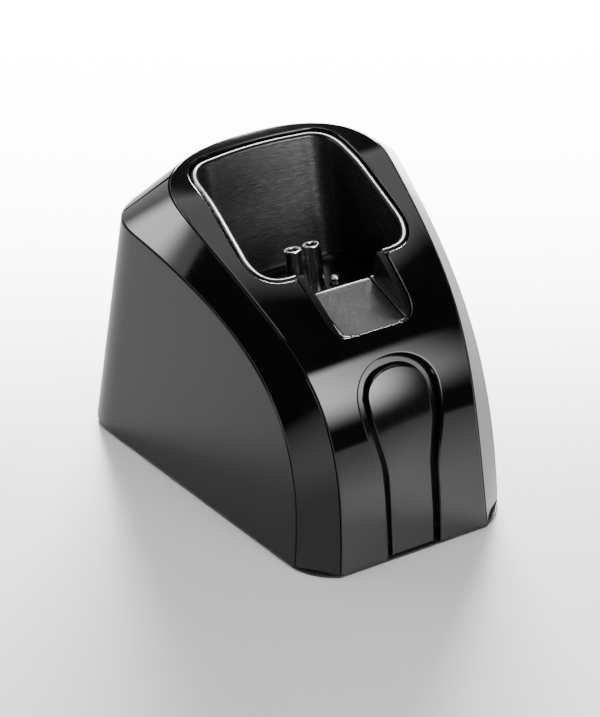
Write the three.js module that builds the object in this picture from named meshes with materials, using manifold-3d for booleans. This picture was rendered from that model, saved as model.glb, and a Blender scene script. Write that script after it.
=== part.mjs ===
// Charging stand for a hair clipper: a wedge-shaped desktop cradle with a raked, gloss front and a
// tilted well that the clipper's lower end drops into, onto sprung charging contacts.
// Millimetres. +X to the stand's own left-to-right, +Y to the rear, +Z up. The origin is on the
// resting plane, under the middle of the overall outline.
import * as THREE from 'three';
import { ConvexGeometry } from 'three/addons/geometries/ConvexGeometry.js';
import { mergeVertices } from 'three/addons/utils/BufferGeometryUtils.js';
import Module from 'manifold-3d';

const wasm = await Module();
wasm.setup();

// ---------------------------------------------------------------- driving dimensions
const CASING_LOW = 1.2;        // lower edge of the casing over the resting plane
const GAP = 0.35;              // parting gap between neighbouring pieces
const WALL = 2.2;              // casing wall

// Side walls: flat, spreading to the rear and leaning in towards the top.
const SIDE = { x: 30, y: -44.3, spread: 0.205, lean: 0.077 };

// Crest line: the edge between the gloss front panel and the chamfer, from the foot of the front
// up over the bend to the rear corner, then round the rear. Each row is a cubic Bezier.
const CREST_FLANK = [[21.4, -53, CASING_LOW], [17.4, -47.7, 56.8], [24.5, -36.3, 57.7], [30, 15.5, 74.2]];
const CREST_REAR = [[30, 15.5, 74.2], [30, 31.5, 76.4], [17, 37.9, 76.2], [0, 37.9, 76.2]];
const CROWN = 0.9;             // rise of the panel's middle over its edges

// Shoulder line: the edge between the chamfer and the side wall (side view, then round the rear).
const SHOULDER_FLANK = [[-44.1, CASING_LOW], [-44.4, 46.5], [-22.8, 58.8], [24.3, 64.6]];
const SHOULDER_REAR = [[39.18, 24.3, 64.6], [42, 36.5, 65.8], [29, 43.5, 66], [0, 43.5, 66]];

// Base outline round the rear.
const BASE_REAR = [[45.3, 30.5, CASING_LOW], [48.6, 44, CASING_LOW], [33, 53, CASING_LOW], [0, 53, CASING_LOW]];

// The well, in its own tilted axes: origin on the middle of its floor, +Z up its axis.
const WELL = {
  y: 3.2, z: 46.8, tilt: THREE.MathUtils.degToRad(14), floor: 2, wall: 1.9,
  frontHalf: 23.4, rearHalf: 22.2, front: 21.5, rear: 21.3, bow: 1.4, frontCorner: 8.5, rearCorner: 9,
};

// Thumb notch through the front rim, with its tray.
const NOTCH = { rearHalf: 13, frontHalf: 12, front: -32.1, corner: 5, rear: -11.5 };
const TRAY = { frontZ: 56, rearZ: 58.1, rear: -13.4, thick: 1.6, floorHalf: 9.6, topHalf: 11.3 };

// Keyhole-shaped slot in the front panel, and the tongue that fills it.
const KEYHOLE = { foot: 7.5, neck: 7.7, neckZ: 22.4, head: 11.1, headZ: 43.4, top: 51.7 };
const TONGUE = { foot: 6.2, neck: 6.1, neckZ: 24.4, head: 8.5, headZ: 43.6, top: 49.6 };
const TONGUE_RECESS = 0.985;   // the tongue's face, as a fraction of the casing's size

// Charging contacts, in the well's axes.
const CONTACT = { x: 2.7, r: 2.3, bore: 1.45, top: 12.5, bottom: -6, stroke: 1.5 };
const SENSE = { x: 8.3, y: -0.3, r: 1.4, top: 2.6, bottom: -6 };
const CARRIER = { width: 30, depth: 13, top: -2.35, bottom: -9.9 };
const BOARD = { width: 38, depth: 24, top: -10.25, thick: 1.6 };
const SPRING = { r: 1.5, wire: 0.22, turns: 4 };

// Power inlet in the rear wall, near the foot.
const INLET = { z: 12.4, nose: 4, bore: 2.75, pin: 0.9, body: 11, front: 37.5, noseEnd: 50.6 };

// Base plate: a thin rim that shows all round under the casing, and a plug that stands inside it.
const BASE = { low: 0.3, rimTop: 0.9, top: 4, scale: 0.935, rimRound: 1.1 };
const OVER_BASE = BASE.top + GAP;
const FOOT = { r: 5.5, height: 1.5, places: [[-33, 34], [33, 34], [-21.5, -36], [21.5, -36]] };
const BOSS = { r: 3.6, top: 20, places: [[-38.2, 22], [38.2, 22], [-28.5, -24], [28.5, -24]] };
const SCREW_SEAT = 1.8;        // top of the base screws' counterbores
const BALLAST = { width: 46, depth: 44, thick: 6, y: -2 };

// ---------------------------------------------------------------- materials
function plastic(color, roughness) {
  return new THREE.MeshStandardMaterial({ color, roughness, metalness: 0 });
}
function metal(color, roughness) {
  return new THREE.MeshStandardMaterial({ color, roughness, metalness: 1 });
}
const satinBlack = () => plastic(0x141416, 0.38);
const glossBlack = () => plastic(0x08080a, 0.08);
const linerBlack = () => plastic(0x101012, 0.3);
const trayGrey = () => plastic(0x2a2a2d, 0.22);
const rubber = () => plastic(0x1a1a1a, 0.85);
const nickel = () => metal(0xc9c7c2, 0.2);
const steel = () => metal(0x9a9a9c, 0.35);
const boardGreen = () => plastic(0x1d5a33, 0.45);
const insulator = () => plastic(0x222226, 0.5);

// ---------------------------------------------------------------- geometry helpers
const vec = (p) => new THREE.Vector3(...p);

function solid(geometry) {
  const bare = geometry.index ? geometry.toNonIndexed() : geometry.clone();
  bare.deleteAttribute('normal');
  bare.deleteAttribute('uv');
  const merged = mergeVertices(bare, 1e-4);
  return new wasm.Manifold(new wasm.Mesh({
    numProp: 3,
    vertProperties: new Float32Array(merged.attributes.position.array),
    triVerts: new Uint32Array(merged.index.array),
  }));
}

function geometryOf(manifold) {
  const mesh = manifold.getMesh();
  const geometry = new THREE.BufferGeometry();
  geometry.setAttribute('position', new THREE.BufferAttribute(new Float32Array(mesh.vertProperties), 3));
  geometry.setIndex(new THREE.BufferAttribute(new Uint32Array(mesh.triVerts), 1));
  geometry.computeVertexNormals();
  return geometry;
}

// A prism of a shape drawn in (y, z), running across the stand along X.
function acrossPrism(shape, half = 60) {
  const geometry = new THREE.ExtrudeGeometry(shape, { depth: 2 * half, bevelEnabled: false, curveSegments: 10 });
  geometry.translate(0, 0, -half);
  return geometry.applyMatrix4(new THREE.Matrix4().makeBasis(vec([0, 1, 0]), vec([0, 0, 1]), vec([1, 0, 0])));
}

// A prism of a shape drawn in (x, z), running from y = near to y = far.
function depthPrism(shape, near, far) {
  const geometry = new THREE.ExtrudeGeometry(shape, { depth: far - near, bevelEnabled: false, curveSegments: 10 });
  geometry.applyMatrix4(new THREE.Matrix4().makeBasis(vec([1, 0, 0]), vec([0, 0, 1]), vec([0, -1, 0])));
  return geometry.translate(0, far, 0);
}

function upPrism(shape, low, high, curveSegments = 8) {
  const geometry = new THREE.ExtrudeGeometry(shape, { depth: high - low, bevelEnabled: false, curveSegments });
  return geometry.translate(0, 0, low);
}

function upCylinder(r, low, high, x = 0, y = 0, sides = 24) {
  const geometry = new THREE.CylinderGeometry(r, r, high - low, sides);
  return geometry.rotateX(Math.PI / 2).translate(x, y, (low + high) / 2);
}

function rearCylinder(r, near, far, z, sides = 24) {
  const geometry = new THREE.CylinderGeometry(r, r, far - near, sides);
  return geometry.translate(0, (near + far) / 2, z);
}

function block(x0, x1, y0, y1, z0, z1) {
  const geometry = new THREE.BoxGeometry(x1 - x0, y1 - y0, z1 - z0);
  return geometry.translate((x0 + x1) / 2, (y0 + y1) / 2, (z0 + z1) / 2);
}

// The well's own axes in the stand's frame.
const wellMatrix = new THREE.Matrix4().makeRotationX(-WELL.tilt).setPosition(0, WELL.y, WELL.z);
const tilted = (geometry) => geometry.applyMatrix4(wellMatrix);

// ---------------------------------------------------------------- the outer form
const sideX = (y, z) => SIDE.x + SIDE.spread * (y - SIDE.y) - SIDE.lean * (z - CASING_LOW);

function bezierPoints(rows, count) {
  return new THREE.CubicBezierCurve3(...rows.map(vec)).getPoints(count);
}

function crestPoints() {
  return [...bezierPoints(CREST_FLANK, 18), ...bezierPoints(CREST_REAR, 9).slice(1)];
}

function shoulderPoints() {
  const flank = new THREE.CubicBezierCurve(...SHOULDER_FLANK.map((p) => new THREE.Vector2(...p)));
  const side = flank.getPoints(16).map((p) => new THREE.Vector3(sideX(p.x, p.y), p.x, p.y));
  return [...side, ...bezierPoints(SHOULDER_REAR, 9).slice(1)];
}

function basePoints(z) {
  const front = vec([...CREST_FLANK[0]]).setZ(z);
  const chamfer = new THREE.Vector3(sideX(SIDE.y, z), SIDE.y, z);
  return [front, chamfer, ...bezierPoints(BASE_REAR, 9).map((p) => p.setZ(z))];
}

const bothSides = (points) => points.flatMap((p) => [p, new THREE.Vector3(-p.x, p.y, p.z)]);

// Rows of points that lift the middle of the panel a little over its two edges.
function crownPoints() {
  const curve = new THREE.CubicBezierCurve3(...CREST_FLANK.map(vec));
  const rows = [];
  for (let i = 2; i <= 16; i += 1) {
    const p = curve.getPoint(i / 17);
    const t = curve.getTangent(i / 17);
    const rise = CROWN * Math.sin((Math.PI * i) / 34);
    const out = new THREE.Vector3(0, -t.z, t.y).normalize();
    for (const [share, lift] of [[0, 1], [0.55, 0.7]]) {
      rows.push(new THREE.Vector3(p.x * share, p.y, p.z).addScaledVector(out, rise * lift));
    }
  }
  return rows;
}

// The stand's whole outer form, closed and solid, scaled about the middle of its base.
function outerForm(sx = 1, sy = 1, sz = 1, low = CASING_LOW) {
  const points = bothSides([...crestPoints(), ...shoulderPoints(), ...crownPoints(), ...basePoints(CASING_LOW)]);
  const scaled = points.map((p) => new THREE.Vector3(p.x * sx, p.y * sy, CASING_LOW + (p.z - CASING_LOW) * sz));
  if (low < CASING_LOW) {
    scaled.push(...scaled.filter((p) => p.z < CASING_LOW + 0.01).map((p) => p.clone().setZ(low)));
  }
  return solid(new ConvexGeometry(scaled));
}

const HALF_WIDTH = 46.5;
const HALF_DEPTH = 53;
const HEIGHT = 76;
const inset = (t) => [1 - t / HALF_WIDTH, 1 - t / HALF_DEPTH, 1 - t / HEIGHT];
const cavityAt = (t) => outerForm(...inset(t), -2);

const form = outerForm();
const cavity = cavityAt(WALL);
const shell = form.subtract(cavity);
const underPanel = outerForm(1, 1, 0.993, -2);

// Everything below the shoulder line.
function underShoulder(dy, dz) {
  const outline = new THREE.Shape();
  outline.moveTo(70, -5);
  outline.lineTo(SHOULDER_FLANK[0][0] + dy, -5);
  outline.lineTo(SHOULDER_FLANK[0][0] + dy, SHOULDER_FLANK[0][1] + dz);
  outline.bezierCurveTo(...SHOULDER_FLANK.slice(1).flatMap((p) => [p[0] + dy, p[1] + dz]));
  outline.lineTo(SHOULDER_REAR[3][1] + dy, SHOULDER_REAR[3][2] + dz);
  outline.lineTo(70, SHOULDER_REAR[3][2] + dz);
  outline.closePath();
  return solid(acrossPrism(outline));
}

// The wedge of space that lies inside the crest line, through the thickness of the panel. Its sides
// run square to the panel: nearly level at the foot of the front, upright over the top.
function withinCrest(grow) {
  const edge = crestPoints().map((p) => new THREE.Vector3(p.x + grow, p.y + (p.y > 20 ? grow : 0), p.z));
  const along = (p, distance) => {
    const rake = THREE.MathUtils.mapLinear(p.y, CREST_FLANK[0][1], CREST_REAR[3][1], -0.75, 0.35);
    return p.clone().addScaledVector(new THREE.Vector3(0, rake, 0.8).normalize(), distance);
  };
  const points = bothSides(edge);
  return solid(new ConvexGeometry([...points.map((p) => along(p, 1.2)), ...points.map((p) => along(p, -9))]));
}

// ---------------------------------------------------------------- outlines of the openings
function wellOutline(t) {
  const { frontHalf, rearHalf, front, rear, bow, frontCorner, rearCorner } = WELL;
  const xf = frontHalf - t;
  const xr = rearHalf - t;
  const yf = -front + t;
  const yr = rear - t;
  const cf = frontCorner - t;
  const cr = rearCorner - t;
  const shape = new THREE.Shape();
  shape.moveTo(-xf + cf, yf);
  shape.lineTo(xf - cf, yf);
  shape.quadraticCurveTo(xf, yf, xf, yf + cf);
  shape.lineTo(xr, yr - cr);
  shape.quadraticCurveTo(xr, yr, xr - cr, yr);
  shape.quadraticCurveTo(0, yr + 2 * bow, -xr + cr, yr);
  shape.quadraticCurveTo(-xr, yr, -xr, yr - cr);
  shape.lineTo(-xf, yf + cf);
  shape.quadraticCurveTo(-xf, yf, -xf + cf, yf);
  return shape;
}

function notchOutline(t) {
  const { rearHalf, frontHalf, front, corner, rear } = NOTCH;
  const shape = new THREE.Shape();
  shape.moveTo(-rearHalf + t, rear);
  shape.lineTo(-frontHalf + t, front + corner);
  shape.quadraticCurveTo(-frontHalf + t + 0.6, front + t, -frontHalf + corner, front + t);
  shape.lineTo(frontHalf - corner, front + t);
  shape.quadraticCurveTo(frontHalf - t - 0.6, front + t, frontHalf - t, front + corner);
  shape.lineTo(rearHalf - t, rear);
  shape.closePath();
  return shape;
}

// A keyhole outline in (x, z): parallel foot, widening neck, domed head.
function keyholeOutline({ foot, neck, neckZ, head, headZ, top }, t = 0) {
  const shape = new THREE.Shape();
  shape.moveTo(-foot - t, -3);
  shape.lineTo(foot + t, -3);
  shape.lineTo(neck + t, neckZ);
  shape.bezierCurveTo(neck + t + 0.6, neckZ + 7, head + t, headZ - 8, head + t, headZ);
  shape.bezierCurveTo(head + t, headZ + (top - headZ) * 0.62, head * 0.58 + t, top + t, 0, top + t);
  shape.bezierCurveTo(-head * 0.58 - t, top + t, -head - t, headZ + (top - headZ) * 0.62, -head - t, headZ);
  shape.bezierCurveTo(-head - t, headZ - 8, -neck - t - 0.6, neckZ + 7, -neck - t, neckZ);
  shape.closePath();
  return shape;
}

const wellPrism = (t, low, high) => solid(tilted(upPrism(wellOutline(t), low, high)));
const notchPrism = (t) => solid(upPrism(notchOutline(t), 30, 90));
const keyholePrism = (outline, t = 0) => solid(depthPrism(keyholeOutline(outline, t), -70, -25));

// Height of the tray's upper face over the resting plane.
const traySlope = (TRAY.rearZ - TRAY.frontZ) / (TRAY.rear - NOTCH.front);
const trayZ = (y) => TRAY.frontZ + traySlope * (y - NOTCH.front);

// All the space above the tray's upper face, lowered by drop.
function aboveTray(drop) {
  const shape = new THREE.Shape();
  shape.moveTo(-60, trayZ(-60) - drop);
  shape.lineTo(60, trayZ(60) - drop);
  shape.lineTo(60, 100);
  shape.lineTo(-60, 100);
  shape.closePath();
  return solid(acrossPrism(shape));
}

// ---------------------------------------------------------------- casing pieces
function mainHousing() {
  let body = shell.intersect(underShoulder(0, 0));
  for (const [x, y] of BOSS.places) {
    body = body.add(solid(upCylinder(BOSS.r, OVER_BASE, BOSS.top, x, y)));
  }
  for (const [x, y] of BOSS.places) {
    body = body.subtract(solid(upCylinder(1.5, 0, BOSS.top - 4, x, y, 16)));
  }
  return body.subtract(solid(rearCylinder(INLET.nose + GAP, 40, 60, INLET.z, 32)));
}

function bezelBand() {
  return shell.subtract(underShoulder(-0.22, 0.28)).subtract(withinCrest(GAP));
}

function fascia() {
  let plate = shell.intersect(withinCrest(0));
  plate = plate.subtract(wellPrism(0, 0, 60)).subtract(notchPrism(0));
  return plate.subtract(keyholePrism(KEYHOLE));
}

function frontTongue() {
  const back = cavityAt(WALL + 1.9);
  const face = outerForm(TONGUE_RECESS, TONGUE_RECESS, TONGUE_RECESS).subtract(back);
  const flange = cavityAt(WALL + GAP).subtract(back).intersect(keyholePrism(KEYHOLE, 1.2));
  const aboveBase = solid(block(-60, 60, -70, 0, OVER_BASE, 90));
  const lip = face.intersect(keyholePrism(TONGUE));
  return lip.intersect(solid(block(-60, 60, -70, 0, CASING_LOW + 0.1, 90))).add(flange.intersect(aboveBase))
    .subtract(solid(block(-60, 60, -BASE.scale * HALF_DEPTH - 0.5, 0, -5, OVER_BASE)));
}

function cradleWell() {
  const cup = wellPrism(GAP, -WELL.floor, 60).subtract(wellPrism(GAP + WELL.wall, 0, 60));
  const contactHoles = [-1, 1].map((s) => solid(tilted(upCylinder(CONTACT.r + 0.3, -4, 4, s * CONTACT.x))));
  const senseHole = solid(tilted(upCylinder(SENSE.r + 0.3, -4, 4, SENSE.x, SENSE.y, 20)));
  const cut = notchPrism(0).intersect(aboveTray(TRAY.thick + GAP));
  let cupBody = cup.intersect(underPanel).subtract(cut).subtract(senseHole);
  for (const hole of contactHoles) cupBody = cupBody.subtract(hole);
  return cupBody;
}

function notchTray() {
  const trough = new THREE.Shape();
  trough.moveTo(-TRAY.floorHalf, 0);
  trough.lineTo(TRAY.floorHalf, 0);
  trough.lineTo(TRAY.topHalf, 12);
  trough.lineTo(-TRAY.topHalf, 12);
  trough.closePath();
  const slope = Math.atan(traySlope);
  const hollow = depthPrism(trough, -30, 40).rotateX(slope).translate(0, NOTCH.front, TRAY.frontZ);
  const limit = solid(block(-60, 60, -60, TRAY.rear, 30, 90));
  return notchPrism(GAP).intersect(aboveTray(TRAY.thick)).intersect(limit).intersect(underPanel)
    .subtract(solid(hollow));
}

// The base outline at the resting plane, with the front chamfers rounded out by bulge.
function baseOutline(scale, bulge) {
  const right = basePoints(0).map((p) => new THREE.Vector2(p.x * scale, p.y * scale));
  const [front, chamfer] = right;
  const between = [0.25, 0.5, 0.75].map((t) => {
    const lift = (bulge * Math.sin(Math.PI * t)) / Math.SQRT2;
    return front.clone().lerp(chamfer, t).add(new THREE.Vector2(lift, -lift));
  });
  const half = [front, ...between, ...right.slice(1)];
  const mirrored = half.slice(0, -1).reverse().map((p) => new THREE.Vector2(-p.x, p.y));
  return new THREE.Shape([...half, ...mirrored]);
}

function basePlate() {
  const rim = solid(upPrism(baseOutline(1, BASE.rimRound), BASE.low, BASE.rimTop));
  let plate = rim.add(solid(upPrism(baseOutline(BASE.scale, 0), BASE.low, BASE.top)));
  for (const [x, y] of FOOT.places) {
    plate = plate.subtract(solid(upCylinder(FOOT.r + GAP, -1, FOOT.height + GAP, x, y, 32)));
  }
  for (const [x, y] of BOSS.places) {
    plate = plate.subtract(solid(upCylinder(1.6, -1, 9, x, y, 16)));
    plate = plate.subtract(solid(upCylinder(3, -1, SCREW_SEAT, x, y, 24)));
  }
  return plate;
}

// ---------------------------------------------------------------- contacts and board
// A plated barrel with a blind bore in its tip and a stop tab below the well's floor.
function contactBarrel(side) {
  const profile = [
    [0, CONTACT.bottom], [CONTACT.r - 0.3, CONTACT.bottom], [CONTACT.r, CONTACT.bottom + 0.3],
    [CONTACT.r, CONTACT.top - 0.35], [CONTACT.r - 0.35, CONTACT.top], [CONTACT.bore + 0.2, CONTACT.top],
    [CONTACT.bore, CONTACT.top - 0.25], [CONTACT.bore, CONTACT.top - 5], [0, CONTACT.top - 5.6],
  ].map(([r, z]) => new THREE.Vector2(r, z));
  const barrel = solid(new THREE.LatheGeometry(profile, 28).rotateX(Math.PI / 2));
  const tabTop = -WELL.floor - GAP;
  const tab = solid(block(1, CONTACT.r + 0.9, -0.8, 0.8, tabTop - 1.1, tabTop));
  return geometryOf(barrel.add(side > 0 ? tab : tab.rotate([0, 0, 180])));
}

function sensePlunger() {
  const cap = SENSE.r * 0.75;
  const profile = [new THREE.Vector2(0, SENSE.bottom), new THREE.Vector2(SENSE.r - 0.1, SENSE.bottom)];
  for (let i = 0; i <= 6; i += 1) {
    const a = (i / 6) * (Math.PI / 2);
    profile.push(new THREE.Vector2(SENSE.r * Math.cos(a), SENSE.top - cap + cap * Math.sin(a)));
  }
  profile[profile.length - 1].x = 0;
  const plunger = solid(new THREE.LatheGeometry(profile, 20).rotateX(Math.PI / 2));
  const tabTop = -WELL.floor - GAP;
  return geometryOf(plunger.add(solid(block(0.5, SENSE.r + 1.1, -0.6, 0.6, tabTop - 1, tabTop))));
}

function contactCarrier() {
  const { width, depth, top, bottom } = CARRIER;
  let body = solid(block(-width / 2, width / 2, -depth / 2, depth / 2, bottom, top));
  const slotLow = -WELL.floor - 1.45 - CONTACT.stroke - 0.5;
  for (const s of [-1, 1]) {
    body = body.subtract(solid(upCylinder(CONTACT.r + 0.3, bottom - 1, top + 1, s * CONTACT.x, 0)));
    const reach = CONTACT.x + CONTACT.r + 1.2;
    body = body.subtract(solid(block(Math.min(0, s * reach), Math.max(0, s * reach), -1.1, 1.1, slotLow, top + 1)));
    body = body.subtract(solid(upCylinder(1.6, bottom - 1, top + 1, s * 12.6, 0, 16)));
  }
  body = body.subtract(solid(upCylinder(SENSE.r + 0.3, bottom - 1, top + 1, SENSE.x, SENSE.y, 20)));
  const senseReach = SENSE.x + SENSE.r + 1.4;
  return geometryOf(body.subtract(
    solid(block(SENSE.x, senseReach, SENSE.y - 0.9, SENSE.y + 0.9, slotLow, top + 1)),
  ));
}

class Helix extends THREE.Curve {
  constructor(r, low, high, turns) {
    super();
    Object.assign(this, { r, low, high, turns });
  }

  getPoint(t, target = new THREE.Vector3()) {
    const a = t * this.turns * 2 * Math.PI;
    return target.set(this.r * Math.cos(a), this.r * Math.sin(a), this.low + (this.high - this.low) * t);
  }
}

function circleShape(r, sides) {
  const points = [];
  for (let i = 0; i < sides; i += 1) {
    const a = (2 * Math.PI * i) / sides;
    points.push(new THREE.Vector2(r * Math.cos(a), r * Math.sin(a)));
  }
  return new THREE.Shape(points);
}

function coilSpring(r) {
  const low = BOARD.top + GAP + SPRING.wire;
  const high = CONTACT.bottom - GAP - SPRING.wire;
  const path = new Helix(r, low, high, SPRING.turns);
  return new THREE.ExtrudeGeometry(circleShape(SPRING.wire, 6), {
    steps: SPRING.turns * 12, extrudePath: path, bevelEnabled: false,
  });
}

function circuitBoard() {
  const { width, depth, top, thick } = BOARD;
  let board = solid(block(-width / 2, width / 2, -depth / 2, depth / 2, top - thick, top));
  for (const s of [-1, 1]) board = board.subtract(solid(upCylinder(1.6, top - 9, top + 9, s * 12.6, 0, 16)));
  return geometryOf(board);
}

// Pan-head screw, head down, its shank running up +Z from the head's seat.
function screw(headR, headH, shankR, shankL) {
  const profile = [
    [0, -headH], [headR - 0.5, -headH], [headR, -headH + 0.6], [headR, 0], [shankR, 0], [shankR, shankL - 0.8],
    [0.2, shankL], [0, shankL],
  ].map(([r, z]) => new THREE.Vector2(r, z));
  const body = solid(new THREE.LatheGeometry(profile, 20).rotateX(Math.PI / 2));
  const slots = [0, 90].map((a) => solid(block(-headR * 0.62, headR * 0.62, -0.3, 0.3, -headH - 1, -headH + 0.7))
    .rotate([0, 0, a]));
  return geometryOf(body.subtract(slots[0]).subtract(slots[1]));
}

// ---------------------------------------------------------------- power inlet
function inletHousing() {
  const { z, nose, bore, body, front, noseEnd } = INLET;
  const wallInside = 47.2;
  let housing = solid(block(-body / 2, body / 2, front, wallInside, z - body / 2, z + body / 2));
  housing = housing.add(solid(rearCylinder(nose, front + 1, noseEnd, z, 32)));
  housing = housing.subtract(solid(rearCylinder(bore, front + 3, noseEnd + 1, z, 28)));
  housing = housing.subtract(solid(rearCylinder(INLET.pin + 0.3, front - 1, noseEnd, z, 16)));
  return geometryOf(housing.subtract(solid(block(-1.8, 1.8, front - 1, front + 12, z + bore - 0.4, z + bore + 1))));
}

function inletPin() {
  const { z, pin, front, noseEnd } = INLET;
  const profile = [[0, front - 2.5], [pin, front - 2.5], [pin, noseEnd - 2.3], [pin * 0.5, noseEnd - 1.7], [0, noseEnd - 1.7]];
  const points = profile.map(([r, y]) => new THREE.Vector2(r, y));
  return new THREE.LatheGeometry(points, 16).translate(0, 0, z);
}

function inletLeaf() {
  const { z, bore, front } = INLET;
  const low = z + bore - 0.1;
  return block(-1.4, 1.4, front - 2.5, front + 11, low, low + 0.6);
}

// An inner lead from the inlet's tag up to the underside of the board.
function innerLead(side) {
  const start = side < 0 ? vec([0, INLET.front - 3.2, INLET.z]) : vec([0, INLET.front - 3.2, INLET.z + INLET.bore + 0.2]);
  const boardTag = vec([side * 9, 8, BOARD.top - BOARD.thick - 1]).applyMatrix4(wellMatrix);
  const path = new THREE.CatmullRomCurve3([
    start, start.clone().add(vec([side * 1.5, -5, 0])), vec([side * 7, 24, 19 + side]),
    boardTag.clone().add(vec([side, 0, -6])), boardTag,
  ]);
  return new THREE.ExtrudeGeometry(circleShape(0.7, 8), { steps: 28, extrudePath: path, bevelEnabled: false });
}

// ---------------------------------------------------------------- assembly
const group = new THREE.Group();

function place(parent, name, geometry, material, x = 0, y = 0, z = 0) {
  const mesh = new THREE.Mesh(geometry, material);
  mesh.name = name;
  mesh.position.set(x, y, z);
  parent.add(mesh);
  return mesh;
}

place(group, 'main_housing', geometryOf(mainHousing()), satinBlack());
place(group, 'bezel_band', geometryOf(bezelBand()), glossBlack());
place(group, 'fascia', geometryOf(fascia()), glossBlack());
place(group, 'front_tongue', geometryOf(frontTongue()), glossBlack());
place(group, 'cradle_well', geometryOf(cradleWell()), linerBlack());
place(group, 'notch_tray', geometryOf(notchTray()), trayGrey());
place(group, 'base_plate', geometryOf(basePlate()), satinBlack());

const wellGroup = new THREE.Group();
wellGroup.rotation.x = -WELL.tilt;
wellGroup.position.set(0, WELL.y, WELL.z);
group.add(wellGroup);
place(wellGroup, 'contact_left', contactBarrel(-1), nickel(), -CONTACT.x);
place(wellGroup, 'contact_right', contactBarrel(1), nickel(), CONTACT.x);
place(wellGroup, 'sense_plunger', sensePlunger(), nickel(), SENSE.x, SENSE.y);
place(wellGroup, 'contact_carrier', contactCarrier(), insulator());
place(wellGroup, 'spring_left', coilSpring(SPRING.r), steel(), -CONTACT.x);
place(wellGroup, 'spring_right', coilSpring(SPRING.r), steel(), CONTACT.x);
place(wellGroup, 'spring_sense', coilSpring(0.9), steel(), SENSE.x, SENSE.y);
place(wellGroup, 'circuit_board', circuitBoard(), boardGreen());
for (const [name, side] of [['board_screw_left', -1], ['board_screw_right', 1]]) {
  place(wellGroup, name, screw(2.6, 1.5, 1.2, 9), steel(), side * 12.6, 0, BOARD.top - BOARD.thick - GAP);
}

place(group, 'inlet_housing', inletHousing(), insulator());
place(group, 'inlet_pin', inletPin(), nickel());
place(group, 'inlet_leaf', inletLeaf(), nickel());
place(group, 'inner_lead_positive', innerLead(-1), plastic(0x8c1c18, 0.5));
place(group, 'inner_lead_negative', innerLead(1), plastic(0x151515, 0.5));

place(group, 'ballast_plate', block(-BALLAST.width / 2, BALLAST.width / 2, -BALLAST.depth / 2, BALLAST.depth / 2, 0,
  BALLAST.thick), steel(), 0, BALLAST.y, OVER_BASE);

FOOT.places.forEach(([x, y], i) => {
  place(group, `foot_${i + 1}`, upCylinder(FOOT.r, 0, FOOT.height, 0, 0, 32), rubber(), x, y);
});
BOSS.places.forEach(([x, y], i) => {
  place(group, `base_screw_${i + 1}`, screw(2.6, 1.1, 1.15, 13), steel(), x, y, SCREW_SEAT - GAP);
});

export default group;
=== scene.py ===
"""The charging stand's looks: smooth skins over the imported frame, their finishes, and the studio."""

import math

import bmesh
import bpy
import numpy as np
from mathutils import Matrix, Vector
from mathutils.geometry import delaunay_2d_cdt


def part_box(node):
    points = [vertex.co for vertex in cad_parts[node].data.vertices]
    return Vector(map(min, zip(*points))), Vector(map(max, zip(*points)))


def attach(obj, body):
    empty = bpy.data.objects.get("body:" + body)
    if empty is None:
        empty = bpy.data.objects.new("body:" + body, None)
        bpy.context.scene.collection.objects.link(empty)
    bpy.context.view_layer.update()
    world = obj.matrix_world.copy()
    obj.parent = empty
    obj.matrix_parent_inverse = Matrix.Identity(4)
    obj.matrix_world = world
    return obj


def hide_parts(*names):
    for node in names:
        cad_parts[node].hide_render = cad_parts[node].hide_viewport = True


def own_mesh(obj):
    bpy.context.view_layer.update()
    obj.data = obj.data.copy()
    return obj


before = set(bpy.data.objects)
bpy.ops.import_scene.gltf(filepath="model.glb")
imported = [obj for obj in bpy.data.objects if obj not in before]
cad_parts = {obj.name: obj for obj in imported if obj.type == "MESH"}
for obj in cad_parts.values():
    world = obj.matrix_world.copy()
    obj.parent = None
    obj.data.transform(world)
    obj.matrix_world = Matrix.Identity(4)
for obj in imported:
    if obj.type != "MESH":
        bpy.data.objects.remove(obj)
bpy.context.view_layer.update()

# Every length in the shape code is in millimetres; meshes are made in metres.
MM = 0.001
SHARP_ANGLE = math.radians(28)

# ---------------------------------------------------------------- driving dimensions
LOW = 1.2                      # lower edge of the casing over the resting plane
GAP = 0.35                     # parting gap
WALL = 2.2                     # casing wall
SIDE_X, SIDE_Y, SPREAD, LEAN = 30.0, -44.3, 0.205, 0.077
CREST_FLANK = [(21.4, -53, LOW), (17.4, -47.7, 56.8), (24.5, -36.3, 57.7), (30, 15.5, 74.2)]
CREST_REAR = [(30, 15.5, 74.2), (30, 31.5, 76.4), (17, 37.9, 76.2), (0, 37.9, 76.2)]
SHOULDER_FLANK = [(-44.1, LOW), (-44.4, 46.5), (-22.8, 58.8), (24.3, 64.6)]
SHOULDER_REAR = [(39.18, 24.3, 64.6), (42, 36.5, 65.8), (29, 43.5, 66), (0, 43.5, 66)]
BASE_REAR = [(45.3, 30.5, LOW), (48.6, 44, LOW), (33, 53, LOW), (0, 53, LOW)]
CROWN = 0.9                    # rise of the panel's middle over its edges

WELL_Y, WELL_Z, WELL_TILT = 3.2, 46.8, math.radians(14)
WELL_FRONT_HALF, WELL_REAR_HALF, WELL_FRONT, WELL_REAR = 23.4, 22.2, 21.5, 21.3
WELL_BOW, WELL_FRONT_CORNER, WELL_REAR_CORNER = 1.4, 8.5, 9.0
WELL_WALL, WELL_FLOOR, WELL_FILLET, WELL_DRAFT = 1.9, 2.0, 2.5, 0.05
WELL_DEPTH = 22.0
RIM_DROP = 0.45                # the well's rim under the panel's face

NOTCH_REAR_HALF, NOTCH_FRONT_HALF, NOTCH_FRONT, NOTCH_CORNER, NOTCH_REAR = 13.0, 12.0, -32.1, 5.0, -11.5
TRAY_FRONT_Z, TRAY_REAR_Z, TRAY_REAR, TRAY_THICK = 56.0, 58.1, -13.4, 1.6
TRAY_FLOOR_HALF, TRAY_TOP_HALF = 9.6, 11.3

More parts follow.
